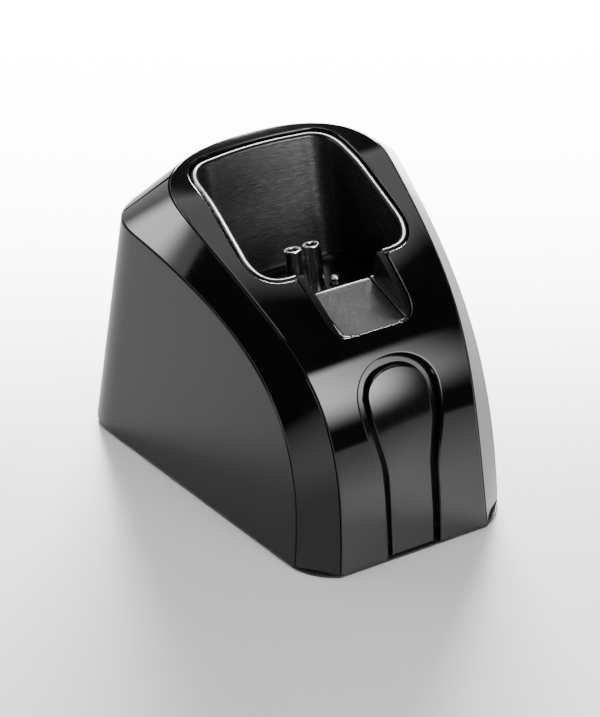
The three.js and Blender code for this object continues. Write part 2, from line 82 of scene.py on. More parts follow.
KEYHOLE = {"foot": 7.5, "neck": 7.7, "neck_z": 22.4, "head": 11.1, "head_z": 43.4, "top": 51.7}
TONGUE = {"foot": 6.2, "neck": 6.1, "neck_z": 24.4, "head": 8.5, "head_z": 43.6, "top": 49.6}
TONGUE_RECESS, TONGUE_LIFT, TONGUE_CROWN, GROOVE_DEPTH = 0.8, 0.3, 0.42, 2.4

SPRING_R, SENSE_SPRING_R, SPRING_WIRE, SPRING_TURNS = 1.5, 0.9, 0.22, 4
SPRING_LOW, SPRING_HIGH = -9.68, -6.57     # the wire's middle, along the well's axis
CONTACT_X, CONTACT_R, CONTACT_BORE, CONTACT_TOP, CONTACT_BOTTOM = 2.7, 2.3, 1.45, 12.5, -6.0
SENSE_X, SENSE_Y, SENSE_R, SENSE_TOP = 8.3, -0.3, 1.4, 2.6

INLET_Z, INLET_NOSE, INLET_BORE, INLET_END = 12.4, 4.0, 2.75, 50.6
BASE_LOW, BASE_RIM_TOP, BASE_TOP, BASE_PLUG, BASE_BULGE = 0.3, 0.9, 4.0, 0.935, 1.1
FOOT_R, FOOT_HEIGHT = 5.5, 1.5
SCREW_HOLE_R = 3.0


# ---------------------------------------------------------------- curve helpers
def bezier(rows, count):
    p = np.array(rows, float)
    t = np.linspace(0, 1, count)[:, None]
    if len(p) == 2:
        return (1 - t) * p[0] + t * p[1]
    if len(p) == 3:
        return (1 - t) ** 2 * p[0] + 2 * t * (1 - t) * p[1] + t**2 * p[2]
    return (1 - t) ** 3 * p[0] + 3 * t * (1 - t) ** 2 * p[1] + 3 * t**2 * (1 - t) * p[2] + t**3 * p[3]


def chain(*runs):
    """Joins runs of points end to end, without repeating the shared ends."""
    return np.concatenate([runs[0]] + [run[1:] for run in runs[1:]])


def unit(v):
    return v / np.maximum(np.linalg.norm(v, axis=-1, keepdims=True), 1e-12)


def run_of(points):
    """Distance along a polyline at each of its points."""
    return np.concatenate([[0.0], np.cumsum(np.linalg.norm(np.diff(points, axis=0), axis=1))])


def at_runs(points, runs):
    own = run_of(points)
    return np.stack([np.interp(runs, own, points[:, k]) for k in range(points.shape[1])], axis=1)


def evenly(points, step):
    length = run_of(points)[-1]
    return at_runs(points, np.linspace(0, length, max(2, round(length / step) + 1)))


def clear_start(points, distance):
    """Drops the points that crowd a run's first point."""
    away = np.linalg.norm(points - points[0], axis=1) > distance
    away[0] = True
    return points[away]


def softened(points, step, spread):
    """An even copy of a curve with its kinks eased over about the given spread."""
    even = evenly(points, step)
    reach = int(3 * spread / step)
    before = 2 * even[0] - even[reach:0:-1]
    after = 2 * even[-1] - even[-2 : -reach - 2 : -1]
    padded = np.concatenate([before, even, after])
    offsets = np.arange(-reach, reach + 1) * step
    weights = np.exp(-0.5 * (offsets / spread) ** 2)
    weights /= weights.sum()
    columns = [np.convolve(padded[:, k], weights, mode="valid") for k in range(even.shape[1])]
    return np.stack(columns, axis=1)


def smoothstep(value, low, high):
    t = np.clip((value - low) / (high - low), 0, 1)
    return t * t * (3 - 2 * t)


def mirrored(points):
    return points * np.array([-1.0] + [1.0] * (points.shape[1] - 1))


def side_x(y, z):
    return SIDE_X + SPREAD * (y - SIDE_Y) - LEAN * (z - LOW)


# ---------------------------------------------------------------- the crest and the panel
half_crest = chain(bezier(CREST_FLANK, 300), bezier(CREST_REAR, 150))
whole_crest = chain(half_crest, mirrored(half_crest)[::-1])
whole_crest = softened(whole_crest, 0.25, 2.2)
CREST = whole_crest[: len(whole_crest) // 2 + 1]   # right half, from the foot to the rear middle
CREST[-1, 0] = 0.0
CREST_RISE = run_of(CREST[:, 1:])                  # distance up the panel's middle profile
PANEL_TOP = CREST_RISE[-1]


def profile_table():
    """The panel's middle profile, evenly spaced: distance up it, y, z and half-width."""
    s = np.linspace(0, PANEL_TOP, 700)
    columns = [np.interp(s, CREST_RISE, CREST[:, k]) for k in (1, 2, 0)]
    yz = softened(np.stack(columns[:2], axis=1), PANEL_TOP / 699, 1.2)
    return s, yz[:700, 0], yz[:700, 1], columns[2]


PROFILE_S, PROFILE_Y, PROFILE_Z, PROFILE_HALF = profile_table()


def panel(x, s):
    """Points on the front panel's face, x across it and s up it."""
    x = np.asarray(x, float)
    s = np.asarray(s, float)
    y = np.interp(s, PROFILE_S, PROFILE_Y)
    z = np.interp(s, PROFILE_S, PROFILE_Z)
    half = np.maximum(np.interp(s, PROFILE_S, PROFILE_HALF), 1.0)
    ty = np.interp(s + 0.5, PROFILE_S, PROFILE_Y) - np.interp(s - 0.5, PROFILE_S, PROFILE_Y)
    tz = np.interp(s + 0.5, PROFILE_S, PROFILE_Z) - np.interp(s - 0.5, PROFILE_S, PROFILE_Z)
    length = np.maximum(np.hypot(ty, tz), 1e-9)
    rise = CROWN * np.sin(0.5 * np.pi * np.clip(s / 105.0, 0, 1)) * (1 - smoothstep(y, 8.0, 31.0))
    lift = rise * np.clip(1 - (x / half) ** 2, 0, 1)
    return np.stack([x, y - lift * tz / length, z + lift * ty / length], axis=-1)


def face_normals(surface, a, b, reach, outward):
    """Unit normals of a surface given as a function of two distances."""
    along_a = surface(a + reach, b) - surface(a - reach, b)
    along_b = surface(a, b + reach) - surface(a, b - reach)
    return unit(np.cross(along_a, along_b)) * outward


def panel_distance(x, measure, value):
    """How far up the panel a rising measure of its points reaches a value, at x across it."""
    points = panel(np.full(len(PROFILE_S), x), PROFILE_S)
    measures = measure(points)
    first = int(np.argmin(measures))
    return float(np.interp(value, measures[first:], PROFILE_S[first:]))


def to_panel(outline, measure):
    """Carries an outline drawn as (x, measure) onto the panel as (x, distance up it)."""
    return np.array([(x, panel_distance(x, measure, value)) for x, value in outline])


def height(points):
    return points[:, 2]


def depth(points):
    return points[:, 1]


def well_depth(points):
    """Distance to the rear in the well's own tilted axes."""
    return (points[:, 1] - WELL_Y) * math.cos(WELL_TILT) - (points[:, 2] - WELL_Z) * math.sin(WELL_TILT)


def well_height(points):
    return (points[:, 1] - WELL_Y) * math.sin(WELL_TILT) + (points[:, 2] - WELL_Z) * math.cos(WELL_TILT)


def from_well(points):
    """Points in the well's own axes carried into the stand's."""
    x, y, z = points[..., 0], points[..., 1], points[..., 2]
    turn_y = y * math.cos(WELL_TILT) + z * math.sin(WELL_TILT)
    turn_z = -y * math.sin(WELL_TILT) + z * math.cos(WELL_TILT)
    return np.stack([x, turn_y + WELL_Y, turn_z + WELL_Z], axis=-1)


def turn_from_well(vectors):
    return from_well(vectors) - np.array([0, WELL_Y, WELL_Z])


WELL_AXIS = np.array([0, math.sin(WELL_TILT), math.cos(WELL_TILT)])


# ---------------------------------------------------------------- outlines of the openings
def well_outline(t):
    """The well's outline in its own axes, inset by t, anticlockwise from the front's middle."""
    xf, xr = WELL_FRONT_HALF - t, WELL_REAR_HALF - t
    yf, yr = -WELL_FRONT + t, WELL_REAR - t
    cf, cr = WELL_FRONT_CORNER - t, WELL_REAR_CORNER - t
    side_slope = (xf - xr) / (yr - cr - yf - cf)
    ease = 1.5
    right = chain(
        bezier([(0, yf), (xf - cf - ease, yf)], 40),
        bezier([(xf - cf - ease, yf), (xf, yf), (xf, yf + cf + ease)], 40),
        bezier([(xf, yf + cf + ease), (xr + side_slope * ease, yr - cr - ease)], 40),
        bezier([(xr + side_slope * ease, yr - cr - ease), (xr, yr), (xr - cr, yr + 0.25 * WELL_BOW)], 40),
        bezier([(xr - cr, yr + 0.25 * WELL_BOW), ((xr - cr) / 2, yr + WELL_BOW), (0, yr + WELL_BOW)], 40),
    )
    return chain(right, mirrored(right)[::-1])[:-1]


def notch_half(t):
    """The right half of the thumb notch's outline, inset by t, from the front's middle to its rear."""
    xf, xr, yf = NOTCH_FRONT_HALF - t, NOTCH_REAR_HALF - t, NOTCH_FRONT + t
    return chain(
        bezier([(0, yf), (NOTCH_FRONT_HALF - NOTCH_CORNER, yf)], 20),
        bezier([(NOTCH_FRONT_HALF - NOTCH_CORNER, yf), (xf - 0.6, yf), (xf, NOTCH_FRONT + NOTCH_CORNER)], 30),
        bezier([(xf, NOTCH_FRONT + NOTCH_CORNER), (xr, NOTCH_REAR)], 30),
    )


def keyhole_half(shape, low, grow=0.0):
    """The right half of a keyhole outline in (x, z), from its foot up to its top."""
    foot, neck, head = shape["foot"] + grow, shape["neck"] + grow, shape["head"] + grow
    neck_z, head_z, top = shape["neck_z"], shape["head_z"], shape["top"] + grow
    shoulder_z = head_z + (shape["top"] - head_z) * 0.62
    return chain(
        bezier([(foot, low), (neck, neck_z)], 30),
        bezier([(neck, neck_z), (neck + 0.6, neck_z + 7), (head, head_z - 8), (head, head_z)], 40),
        bezier([(head, head_z), (head, shoulder_z), (shape["head"] * 0.58 + grow, top), (0, top)], 50),
    )


def opening_outline():
    """The well and the thumb notch as one opening on the panel, in (x, distance up it)."""
    well = to_panel(well_outline(0), well_depth)
    notch = to_panel(notch_half(0), depth)
    front_s = well[0, 1]
    crossing_x = float(np.interp(front_s, notch[:, 1], notch[:, 0]))
    corner = np.array([crossing_x, front_s])
    ease = 1.6
    notch_side = notch[notch[:, 1] < front_s - ease]
    first = np.argmax(well[:, 0] > crossing_x + ease)
    middle = len(well) // 2
    right = chain(
        notch_side,
        bezier([notch_side[-1], corner, well[first]], 12),
        well[first : middle + 1],
    )
    return evenly(chain(right, mirrored(right)[::-1]), 0.55)[:-1]


# ---------------------------------------------------------------- mesh helpers
def inside(points, loop):
    """Which points lie inside a closed outline."""
    x, y = points[:, 0][:, None], points[:, 1][:, None]
    x0, y0 = loop[:, 0], loop[:, 1]
    x1, y1 = np.roll(x0, -1), np.roll(y0, -1)
    rise = np.where(np.abs(y1 - y0) < 1e-12, 1e-12, y1 - y0)
    crosses = ((y0 > y) != (y1 > y)) & (x < x0 + (y - y0) * (x1 - x0) / rise)
    return crosses.sum(axis=1) % 2 == 1


def clearance(points, rims):
    """Distance from each point to the nearest point of the rims."""
    parts = [np.sqrt(((chunk[:, None] - rims[None]) ** 2).sum(-1)).min(1) for chunk in np.array_split(points, 16)]
    return np.concatenate(parts)


def fill(loops, step):
    """Triangles that fill the first outline around the others: points, faces and each outline's indices."""
    rims = np.concatenate(loops)
    low, high = rims.min(0), rims.max(0)
    xs = np.arange(low[0] + step / 2, high[0], step)
    ys = np.arange(low[1] + step / 2, high[1], step)
    grid = np.stack(np.meshgrid(xs, ys), axis=-1).reshape(-1, 2)
    keep = inside(grid, loops[0])
    for hole in loops[1:]:
        keep &= ~inside(grid, hole)
    grid = grid[keep]
    grid = grid[clearance(grid, rims) > 0.6 * step]
    points = np.concatenate([rims, grid])
    indices = []
    start = 0
    for loop in loops:
        indices.append(np.arange(start, start + len(loop)))
        start += len(loop)
    edges = [(int(a), int(b)) for ring in indices for a, b in zip(ring, np.roll(ring, -1))]
    made = delaunay_2d_cdt([Vector(p) for p in points], edges, [], 0, 1e-7)
    back_to = [origin[0] for origin in made[3]]
    faces = np.array([[back_to[k] for k in face] for face in made[2]])
    middles = points[faces].mean(axis=1)
    keep = inside(middles, loops[0])
    for hole in loops[1:]:
        keep &= ~inside(middles, hole)
    return points, faces[keep], indices


def shifted(loop, distance):
    """A closed outline moved to its left by a distance, with mitred corners."""
    ahead = unit(np.roll(loop, -1, axis=0) - loop)
    left = np.stack([-ahead[:, 1], ahead[:, 0]], axis=1)
    before = np.roll(left, 1, axis=0)
    share = 1 + (left * before).sum(1, keepdims=True)
    return loop + distance * (left + before) / np.maximum(share, 0.35)


def anticlockwise(loop):
    x, y = loop[:, 0], loop[:, 1]
    area = (x * np.roll(y, -1) - np.roll(x, -1) * y).sum()
    return loop if area > 0 else loop[::-1]


def rolled(a, b, c, steps, outward):
    """Rings of points and normals that round the corner b between a on the face and c on the wall."""
    along = np.roll(b, -1, axis=0) - np.roll(b, 1, axis=0)
    rings = []
    for k in np.linspace(0, 1, steps + 1)[1:]:
        points = (1 - k) ** 2 * a + 2 * k * (1 - k) * b + k**2 * c
        across = (1 - k) * (b - a) + k * (c - b)
        normals = unit(np.cross(along, across))
        rings.append((points, normals))
    sign = np.sign((rings[0][1] * outward).sum())
    return [(points, normals * sign) for points, normals in rings]


def edge_rings(a, b, inward, radius, reach, outward, steps=5):
    """The rolled edge and the wall behind it, for one rim of a skin."""
    rings = rolled(a, b, b + inward * radius, steps, outward)
    return rings + [(b + inward * reach, rings[-1][1])]


def closed_mesh(points, normals, faces, rims, back_points):
    """A closed shape: a front skin, rings of points over each rim, and a back skin."""
    count = len(points)
    all_points, all_normals = [points, back_points], [normals, -normals]
    all_faces = [list(face) for face in faces] + [list(face[::-1] + count) for face in np.asarray(faces)]
    total = 2 * count
    for rim, rings in rims:
        previous = np.asarray(rim)
        for ring_points, ring_normals in rings:
            current = np.arange(total, total + len(rim))
            all_points.append(ring_points)
            all_normals.append(ring_normals)
            all_faces += quads(previous, current)
            previous = current
            total += len(rim)
        all_faces += quads(previous, np.asarray(rim) + count)
    return np.concatenate(all_points), np.concatenate(all_normals), all_faces


def quads(ring, other):
    return np.stack([ring, np.roll(ring, -1), np.roll(other, -1), other], axis=1).tolist()


def joined(*shapes):
    """Several closed shapes as one."""
    points, normals, faces, start = [], [], [], 0
    for shape_points, shape_normals, shape_faces in shapes:
        points.append(shape_points)
        normals.append(shape_normals)
        faces += [[index + start for index in face] for face in shape_faces]
        start += len(shape_points)
    return np.concatenate(points), np.concatenate(normals), faces


def piece(name, shape, material, body="stand", stands_for=()):
    """Makes a named object from a closed shape, riding a body of the frame."""
    points, normals, faces = shape
    mesh = bpy.data.meshes.new(name)
    mesh.from_pydata((points * MM).tolist(), [], [[int(k) for k in face] for face in faces])
    work = bmesh.new()
    work.from_mesh(mesh)
    bmesh.ops.recalc_face_normals(work, faces=work.faces)
    if normals is None:
        sharp = [edge for edge in work.edges if edge.calc_face_angle(0.0) > SHARP_ANGLE]
        bmesh.ops.bevel(work, geom=sharp, offset=0.14 * MM, segments=2, affect="EDGES", profile=0.7)
    work.to_mesh(mesh)
    work.free()
    mesh.shade_smooth()
    if normals is None:
        mesh.set_sharp_from_angle(angle=SHARP_ANGLE)
    else:
        mesh.normals_split_custom_set_from_vertices(unit(normals).tolist())
    mesh.materials.append(material)
    made = bpy.data.objects.new(name, mesh)
    bpy.context.scene.collection.objects.link(made)
    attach(made, body)
    if stands_for:
        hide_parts(*stands_for)
    return made


# ---------------------------------------------------------------- skins of the casing
def crest_inward(points):
    """The direction the parting gap along the crest runs in, square to the panel."""
    rake = np.interp(points[:, 1], [CREST_FLANK[0][1], CREST_REAR[3][1]], [-0.75, 0.35])
    fall = 0.8 * smoothstep(points[:, 2], LOW, 14.0)
    return unit(np.stack([np.zeros(len(rake)), -rake, -fall], axis=1))


def above_floor(rings, low=LOW):
    return [(np.maximum(points, [-1e9, -1e9, low]), normals) for points, normals in rings]


def panel_shape():
    """The gloss front panel, with the well's and notch's opening and the keyhole slot."""
    crest = evenly(np.stack([CREST[:, 0], CREST_RISE], axis=1), 0.8)
    slot = clear_start(evenly(to_panel(keyhole_half(KEYHOLE, LOW), height), 0.5), 0.9)
    bottom = evenly(np.array([slot[0], crest[0]]), 0.8)
    right = chain(slot[::-1], bottom, crest)
    outer = chain(right, mirrored(right)[::-1])[:-1]
    around_slot = np.zeros(len(outer), bool)
    around_slot[: len(slot)] = True
    around_slot[len(outer) - len(slot) + 1 :] = True
    if anticlockwise(outer) is not outer:
        outer, around_slot = outer[::-1], around_slot[::-1]
    hole = anticlockwise(opening_outline())
    radius = np.where(around_slot, 0.7, 0.42)[:, None]
    inner_outer = shifted(outer, 1.0) - outer
    inner_outer = outer + inner_outer * radius
    inner_hole = shifted(hole, -0.4)
    flat, faces, (outer_rim, hole_rim) = fill([inner_outer, inner_hole], 1.0)
    points = panel(flat[:, 0], flat[:, 1])
    normals = face_normals(panel, flat[:, 0], flat[:, 1], 0.6, 1.0)
    edge = panel(outer[:, 0], outer[:, 1])
    inward = np.where(around_slot[:, None], [0.0, 1.0, 0.0], crest_inward(edge))
    outer_rings = rolled(points[outer_rim], edge, edge + inward * radius, 5, normals[outer_rim])
    outer_rings.append((edge + inward * WALL, outer_rings[-1][1]))
    hole_edge = panel(hole[:, 0], hole[:, 1])
    in_notch = smoothstep(hole_edge[:, 1], -16.0, -12.0)[:, None]
    hole_inward = -unit(in_notch * WELL_AXIS + (1 - in_notch) * np.array([0, 0, 1.0]))
    hole_rings = edge_rings(points[hole_rim], hole_edge, hole_inward, 0.4, WALL, normals[hole_rim])
    rims = [(outer_rim, above_floor(outer_rings)), (hole_rim, hole_rings)]
    back = np.maximum(points - normals * WALL, [-1e9, -1e9, LOW])
    return closed_mesh(points, normals, faces, rims, back)


def shoulder_line():
    """The shoulder from its foot round to the rear's middle, right half."""
    yz = bezier(SHOULDER_FLANK, 400)
    flank = np.stack([side_x(yz[:, 0], yz[:, 1]), yz[:, 0], yz[:, 1]], axis=1)
    half = chain(flank, bezier(SHOULDER_REAR, 200))
    whole = softened(chain(half, mirrored(half)[::-1]), 0.25, 1.8)
    return whole[: len(whole) // 2 + 1]


SHOULDER = shoulder_line()


def chamfer_pairs():
    """Matched points of the crest and the shoulder, so that the chamfer between them lies fair."""
    crest = at_runs(CREST, np.linspace(0, run_of(CREST)[-1], 400))
    shoulder = at_runs(SHOULDER, np.linspace(0, run_of(SHOULDER)[-1], 600))
    crest_way = unit(np.gradient(crest, axis=0))
    shoulder_way = unit(np.gradient(shoulder, axis=0))
    found = [0.0]
    for k in range(1, len(crest) - 1):
        across = shoulder - crest[k]
        twist = (np.cross(crest_way[k], shoulder_way) * unit(across)).sum(1)
        guess = k / (len(crest) - 1) * len(shoulder)
        span = np.arange(max(0, int(guess) - 130), min(len(shoulder) - 1, int(guess) + 130))
        turns = span[np.sign(twist[span]) != np.sign(twist[span + 1])]
        best = turns[np.argmin(np.abs(turns - guess))] if len(turns) else found[-1]
        found.append(max(float(best), found[-1]))
    found.append(len(shoulder) - 1.0)
    guide = np.array(found)
    weights = np.exp(-0.5 * (np.arange(-30, 31) / 10.0) ** 2)
    padded = np.concatenate([2 * guide[0] - guide[30:0:-1], guide, 2 * guide[-1] - guide[-2:-32:-1]])
    guide = np.convolve(padded, weights / weights.sum(), mode="valid")
    guide = np.clip(np.maximum.accumulate(guide), 0, len(shoulder) - 1)
    matched = np.stack([np.interp(guide, np.arange(len(shoulder)), shoulder[:, k]) for k in range(3)], axis=1)
    return crest, matched


def bezel_shape():
    """The gloss chamfer between the panel and the side walls, in one band round the rear."""
    crest, shoulder = chamfer_pairs()
    runs = (run_of(crest) + run_of(shoulder)) / 2
    stations = np.linspace(0, runs[-1], 190)
    ends = [np.stack([np.interp(stations, runs, c[:, k]) for k in range(3)], axis=1) for c in (crest, shoulder)]
    crest, shoulder = [chain(end, mirrored(end)[::-1]) for end in ends]
    across = unit(shoulder - crest)
    width = np.linalg.norm(shoulder - crest, axis=1, keepdims=True)
    along = unit(np.gradient((crest + shoulder) / 2, axis=0))
    normals = unit(np.cross(across, along))
    outside = np.sign((normals * (crest - np.array([0, 0, 30.0]))).sum())
    normals *= outside
    radius, low_edge, columns = 0.3, 0.3, 9

    def place(column, inset):
        usable = width - GAP - low_edge - 2 * inset
        return crest + across * (GAP + inset + usable * column)

    shares = np.linspace(0, 1, columns)
    skin = np.stack([place(share, radius) for share in shares], axis=1)
    edge = np.stack([place(share, 0.0) for share in shares], axis=1)
    for rows, way in ((skin, 1), (skin[::-1], -1)):
        step = unit(rows[1] - rows[0])
        rows[0] += step * radius
    count = len(crest)
    faces = grid_faces(count, columns)
    rim = grid_rim(count, columns)
    inward_crest = crest_inward(crest)
    flat_out = unit(normals * np.array([1, 1, 0]))
    inward_edge = np.repeat(-normals[:, None], columns, axis=1)
    inward_edge[:, 0] = inward_crest
    inward_edge[:, -1] = -flat_out
    points = skin.reshape(-1, 3)
    point_normals = np.repeat(normals[:, None], columns, axis=1).reshape(-1, 3)
    edge_points, inward = edge.reshape(-1, 3)[rim], inward_edge.reshape(-1, 3)[rim]
    rings = edge_rings(points[rim], edge_points, inward, radius, WALL, point_normals[rim])
    back = points - point_normals * WALL
    return closed_mesh(points, point_normals, faces, [(rim, above_floor(rings))], np.maximum(back, [-1e9, -1e9, LOW]))


def grid_faces(rows, columns):
    index = np.arange(rows * columns).reshape(rows, columns)
    corners = [index[:-1, :-1], index[1:, :-1], index[1:, 1:], index[:-1, 1:]]
    return np.stack([corner.ravel() for corner in corners], axis=1)


def grid_rim(rows, columns):
    index = np.arange(rows * columns).reshape(rows, columns)
    return np.concatenate([index[:-1, 0], index[-1, :-1], index[:0:-1, -1], index[0, :0:-1]])


REAR_BASE = bezier(BASE_REAR, 300)[::-1]           # from the rear's middle to the side wall
REAR_SHOULDER = bezier(SHOULDER_REAR, 300)[::-1]
REAR_RUN = run_of(REAR_BASE)
REAR_LENGTH = REAR_RUN[-1]
FLANK_LENGTH = BASE_REAR[0][1] - SIDE_Y


def side_wall(q, z):
    """Points on the side and rear walls: q round the wall from the rear's middle, z up it."""
    q, z = np.broadcast_arrays(np.asarray(q, float), np.asarray(z, float))
    side = np.where(q < 0, -1.0, 1.0)
    run = np.abs(q)
    base = np.stack([np.interp(run, REAR_RUN, REAR_BASE[:, k]) for k in range(3)], axis=-1)
    top = np.stack([np.interp(run, REAR_RUN, REAR_SHOULDER[:, k]) for k in range(3)], axis=-1)
    share = ((z - LOW) / (top[..., 2] - LOW))[..., None]
    rear = base + (top - base) * share
    join_y = BASE_REAR[0][1] + (SHOULDER_REAR[0][1] - BASE_REAR[0][1]) * (z - LOW) / (SHOULDER_REAR[0][2] - LOW)
    y = join_y - (run - REAR_LENGTH) / FLANK_LENGTH * (join_y - SIDE_Y)
    flank = np.stack([side_x(y, z), y, z], axis=-1)
    points = np.where((run > REAR_LENGTH)[..., None], flank, rear)
    return points * np.stack([side, np.ones_like(side), np.ones_like(side)], axis=-1)


def wall_outline():
    """The side and rear walls' outline in (round the wall, up it)."""
    flank = bezier(SHOULDER_FLANK, 300)
    join_y = BASE_REAR[0][1] + (SHOULDER_REAR[0][1] - BASE_REAR[0][1]) * (flank[:, 1] - LOW) / (SHOULDER_REAR[0][2] - LOW)
    q = REAR_LENGTH + (join_y - flank[:, 0]) / (join_y - SIDE_Y) * FLANK_LENGTH
    top = chain(np.stack([q, flank[:, 1]], axis=1), np.stack([REAR_RUN, REAR_SHOULDER[:, 2]], axis=1)[::-1])
    top = evenly(top, 0.9)
    foot = evenly(np.array([(0.0, LOW), top[0]]), 1.1)
    right = chain(foot, top)
    return chain(right, mirrored(right)[::-1])[:-1], len(foot)


def housing_shape():
    """The satin side and rear walls, with the inlet's hole."""
    outer, foot_count = wall_outline()
    level = np.abs(outer[:, 1] - LOW) < 1e-6
    hole_angles = np.linspace(0, 2 * np.pi, 56, endpoint=False)
    hole = np.stack([np.cos(hole_angles), np.sin(hole_angles)], axis=1) * (INLET_NOSE + GAP) + [0, INLET_Z]
    if anticlockwise(outer) is not outer:
        outer, level = outer[::-1], level[::-1]
    radius = 0.3
    flat, faces, (rim, hole_rim) = fill([shifted(outer, radius), shifted(hole, -radius)], 1.5)
    points = side_wall(flat[:, 0], flat[:, 1])
    normals = face_normals(side_wall, flat[:, 0], flat[:, 1], 2.5, 1.0)
    normals *= np.sign((normals * (points - [0, 0, points[:, 2].mean()]))[:, :2].sum())
    edge = side_wall(outer[:, 0], outer[:, 1])
    flat_out = unit(normals[rim] * [1, 1, 0])
    rings = edge_rings(points[rim], edge, -flat_out, radius, WALL, normals[rim])
    hole_edge = side_wall(hole[:, 0], hole[:, 1])
    hole_inward = np.tile([0.0, -1.0, 0.0], (len(hole), 1))
    hole_rings = edge_rings(points[hole_rim], hole_edge, hole_inward, radius, WALL, normals[hole_rim])
    back = points - normals * WALL
    back = np.maximum(back, [-1e9, -1e9, LOW])
    return closed_mesh(points, normals, faces, [(rim, above_floor(rings)), (hole_rim, hole_rings)], back)


# ---------------------------------------------------------------- the tongue in the keyhole
TONGUE_HEAD_S = panel_distance(0.0, height, TONGUE["head_z"] - 3.0)


def tongue_face(x, s):
    """The tongue's face: sunk along its foot, crowned and nearly flush at its head."""
    head = smoothstep(s, TONGUE_HEAD_S - 26.0, TONGUE_HEAD_S)
    crowned = np.clip(1 - (x / TONGUE["head"]) ** 2, 0, 1)
    sunk = TONGUE_RECESS - head * (TONGUE_LIFT + TONGUE_CROWN * crowned)
    return panel(x, s) - face_normals(panel, x, s, 0.6, 1.0) * sunk[..., None]


def tongue_shape():
    half = clear_start(evenly(to_panel(keyhole_half(TONGUE, LOW + 0.1), height), 0.5), 0.9)
    outer = chain(half, mirrored(half)[::-1])
    foot = evenly(np.array([outer[-1], outer[0]]), 0.8)
    outer = anticlockwise(chain(outer, foot)[:-1])
    radius = 0.5
    flat, faces, (rim,) = fill([shifted(outer, radius)], 0.7)
    points = tongue_face(flat[:, 0], flat[:, 1])
    normals = face_normals(tongue_face, flat[:, 0], flat[:, 1], 0.5, 1.0)
    edge = tongue_face(outer[:, 0], outer[:, 1])
    inward = np.tile([0.0, 1.0, 0.0], (len(outer), 1))
    rings = edge_rings(points[rim], edge, inward, radius, 1.9, normals[rim])
    raised = closed_mesh(points, normals, faces, [(rim, above_floor(rings, LOW + 0.1))], points + [0, 2.0, 0])
    return joined(raised, groove_floor())


def groove_floor():
    """The flange behind the keyhole slot, which closes the groove round the tongue."""
    half = evenly(to_panel(keyhole_half(KEYHOLE, BASE_TOP + GAP, 1.2), height), 0.9)
    outer = chain(half, mirrored(half)[::-1])
    foot = evenly(np.array([outer[-1], outer[0]]), 1.0)
    outer = anticlockwise(chain(outer, foot)[:-1])
    flat, faces, (rim,) = fill([outer], 1.2)
    normals = face_normals(panel, flat[:, 0], flat[:, 1], 0.6, 1.0)
    points = panel(flat[:, 0], flat[:, 1]) - normals * GROOVE_DEPTH
    return closed_mesh(points, normals, faces, [(rim, [])], points - normals * 1.2)


# ---------------------------------------------------------------- the well
def notch_edge_x(y):
    outline = notch_half(0)
    return float(np.interp(y, outline[:, 1], outline[:, 0]))


def tray_z(y):
    slope = (TRAY_REAR_Z - TRAY_FRONT_Z) / (TRAY_REAR - NOTCH_FRONT)
    return TRAY_FRONT_Z + slope * (y - NOTCH_FRONT)


def rim_heights(outline):
    """Height of the well's rim, in its own axes, round an outline of its wall."""
    tops = []
    for x, y in outline:
        s = panel_distance(x, well_depth, y)
        tops.append(well_height(panel(np.array([x]), np.array([s])))[0] - RIM_DROP)
    return np.array(tops)


def cup_outline():
    """The well wall's middle line, with doubled points where the notch cuts it, and what is cut."""
    loop = evenly(chain(well_outline(GAP + WELL_WALL / 2), well_outline(GAP + WELL_WALL / 2)[:1]), 0.7)[:-1]
    cut_x = NOTCH_FRONT_HALF + 0.55
    front = loop[:, 1] < -WELL_FRONT + 6
    keep = ~(front & (np.abs(np.abs(loop[:, 0]) - cut_x) < 0.35))
    y_front = loop[:, 1].min()
    extra = [(s * (cut_x + d), y_front) for s in (-1, 1) for d in (-0.16, -0.01, 0.01, 0.16)]
    loop = np.concatenate([loop[keep], np.array(extra)])
    angles = np.arctan2(loop[:, 1], loop[:, 0])
    loop = loop[np.argsort(angles)]
    cut = (loop[:, 1] < -WELL_FRONT + 6) & (np.abs(loop[:, 0]) < cut_x)
    return loop, cut


def loop_outward(loop):
    way = np.roll(loop, -1, axis=0) - np.roll(loop, 1, axis=0)
    return unit(np.stack([way[:, 1], -way[:, 0]], axis=1))


def cup_shape():
    """The well's cup: floor with the contacts' holes, filleted walls and a rounded bead for a rim."""
    loop, cut = cup_outline()
    out = loop_outward(loop)
    half = WELL_WALL / 2
    tops = rim_heights(loop)
    tray_low = [well_height(np.array([[0, y, tray_z(y) - TRAY_THICK - GAP]]))[0] for y in [-13.2]][0]
    tops = np.where(cut, tray_low - half, tops - half)
    inner = loop - out * (half + WELL_DRAFT * WELL_DEPTH)
    fillet_loop = inner - out * WELL_FILLET
    holes = [circle(s * CONTACT_X, 0, CONTACT_R + 0.3, 40) for s in (-1, 1)]
    holes = [one_slot(holes)] + [circle(SENSE_X, SENSE_Y, SENSE_R + 0.3, 28)]
    wide = [shifted(hole, -0.2) for hole in holes]
    flat, faces, (rim, *hole_rims) = fill([fillet_loop, *wide], 1.1)
    points = np.column_stack([flat, np.zeros(len(flat))])
    normals = np.tile([0.0, 0.0, 1.0], (len(flat), 1))
    rings = cup_rings(loop, out, inner, tops, half)
    rims = [(rim, rings)]
    down = np.array([0.0, 0.0, -1.0])
    for hole, ring in zip(holes, hole_rims):
        edge = np.column_stack([hole, np.zeros(len(hole))])
        rims.append((ring, edge_rings(points[ring], edge, np.tile(down, (len(hole), 1)), 0.2, WELL_FLOOR, normals[ring], 3)))
    made, made_normals, made_faces = closed_mesh(points, normals, faces, rims, points + down * WELL_FLOOR)
    return from_well(made), turn_from_well(made_normals), made_faces


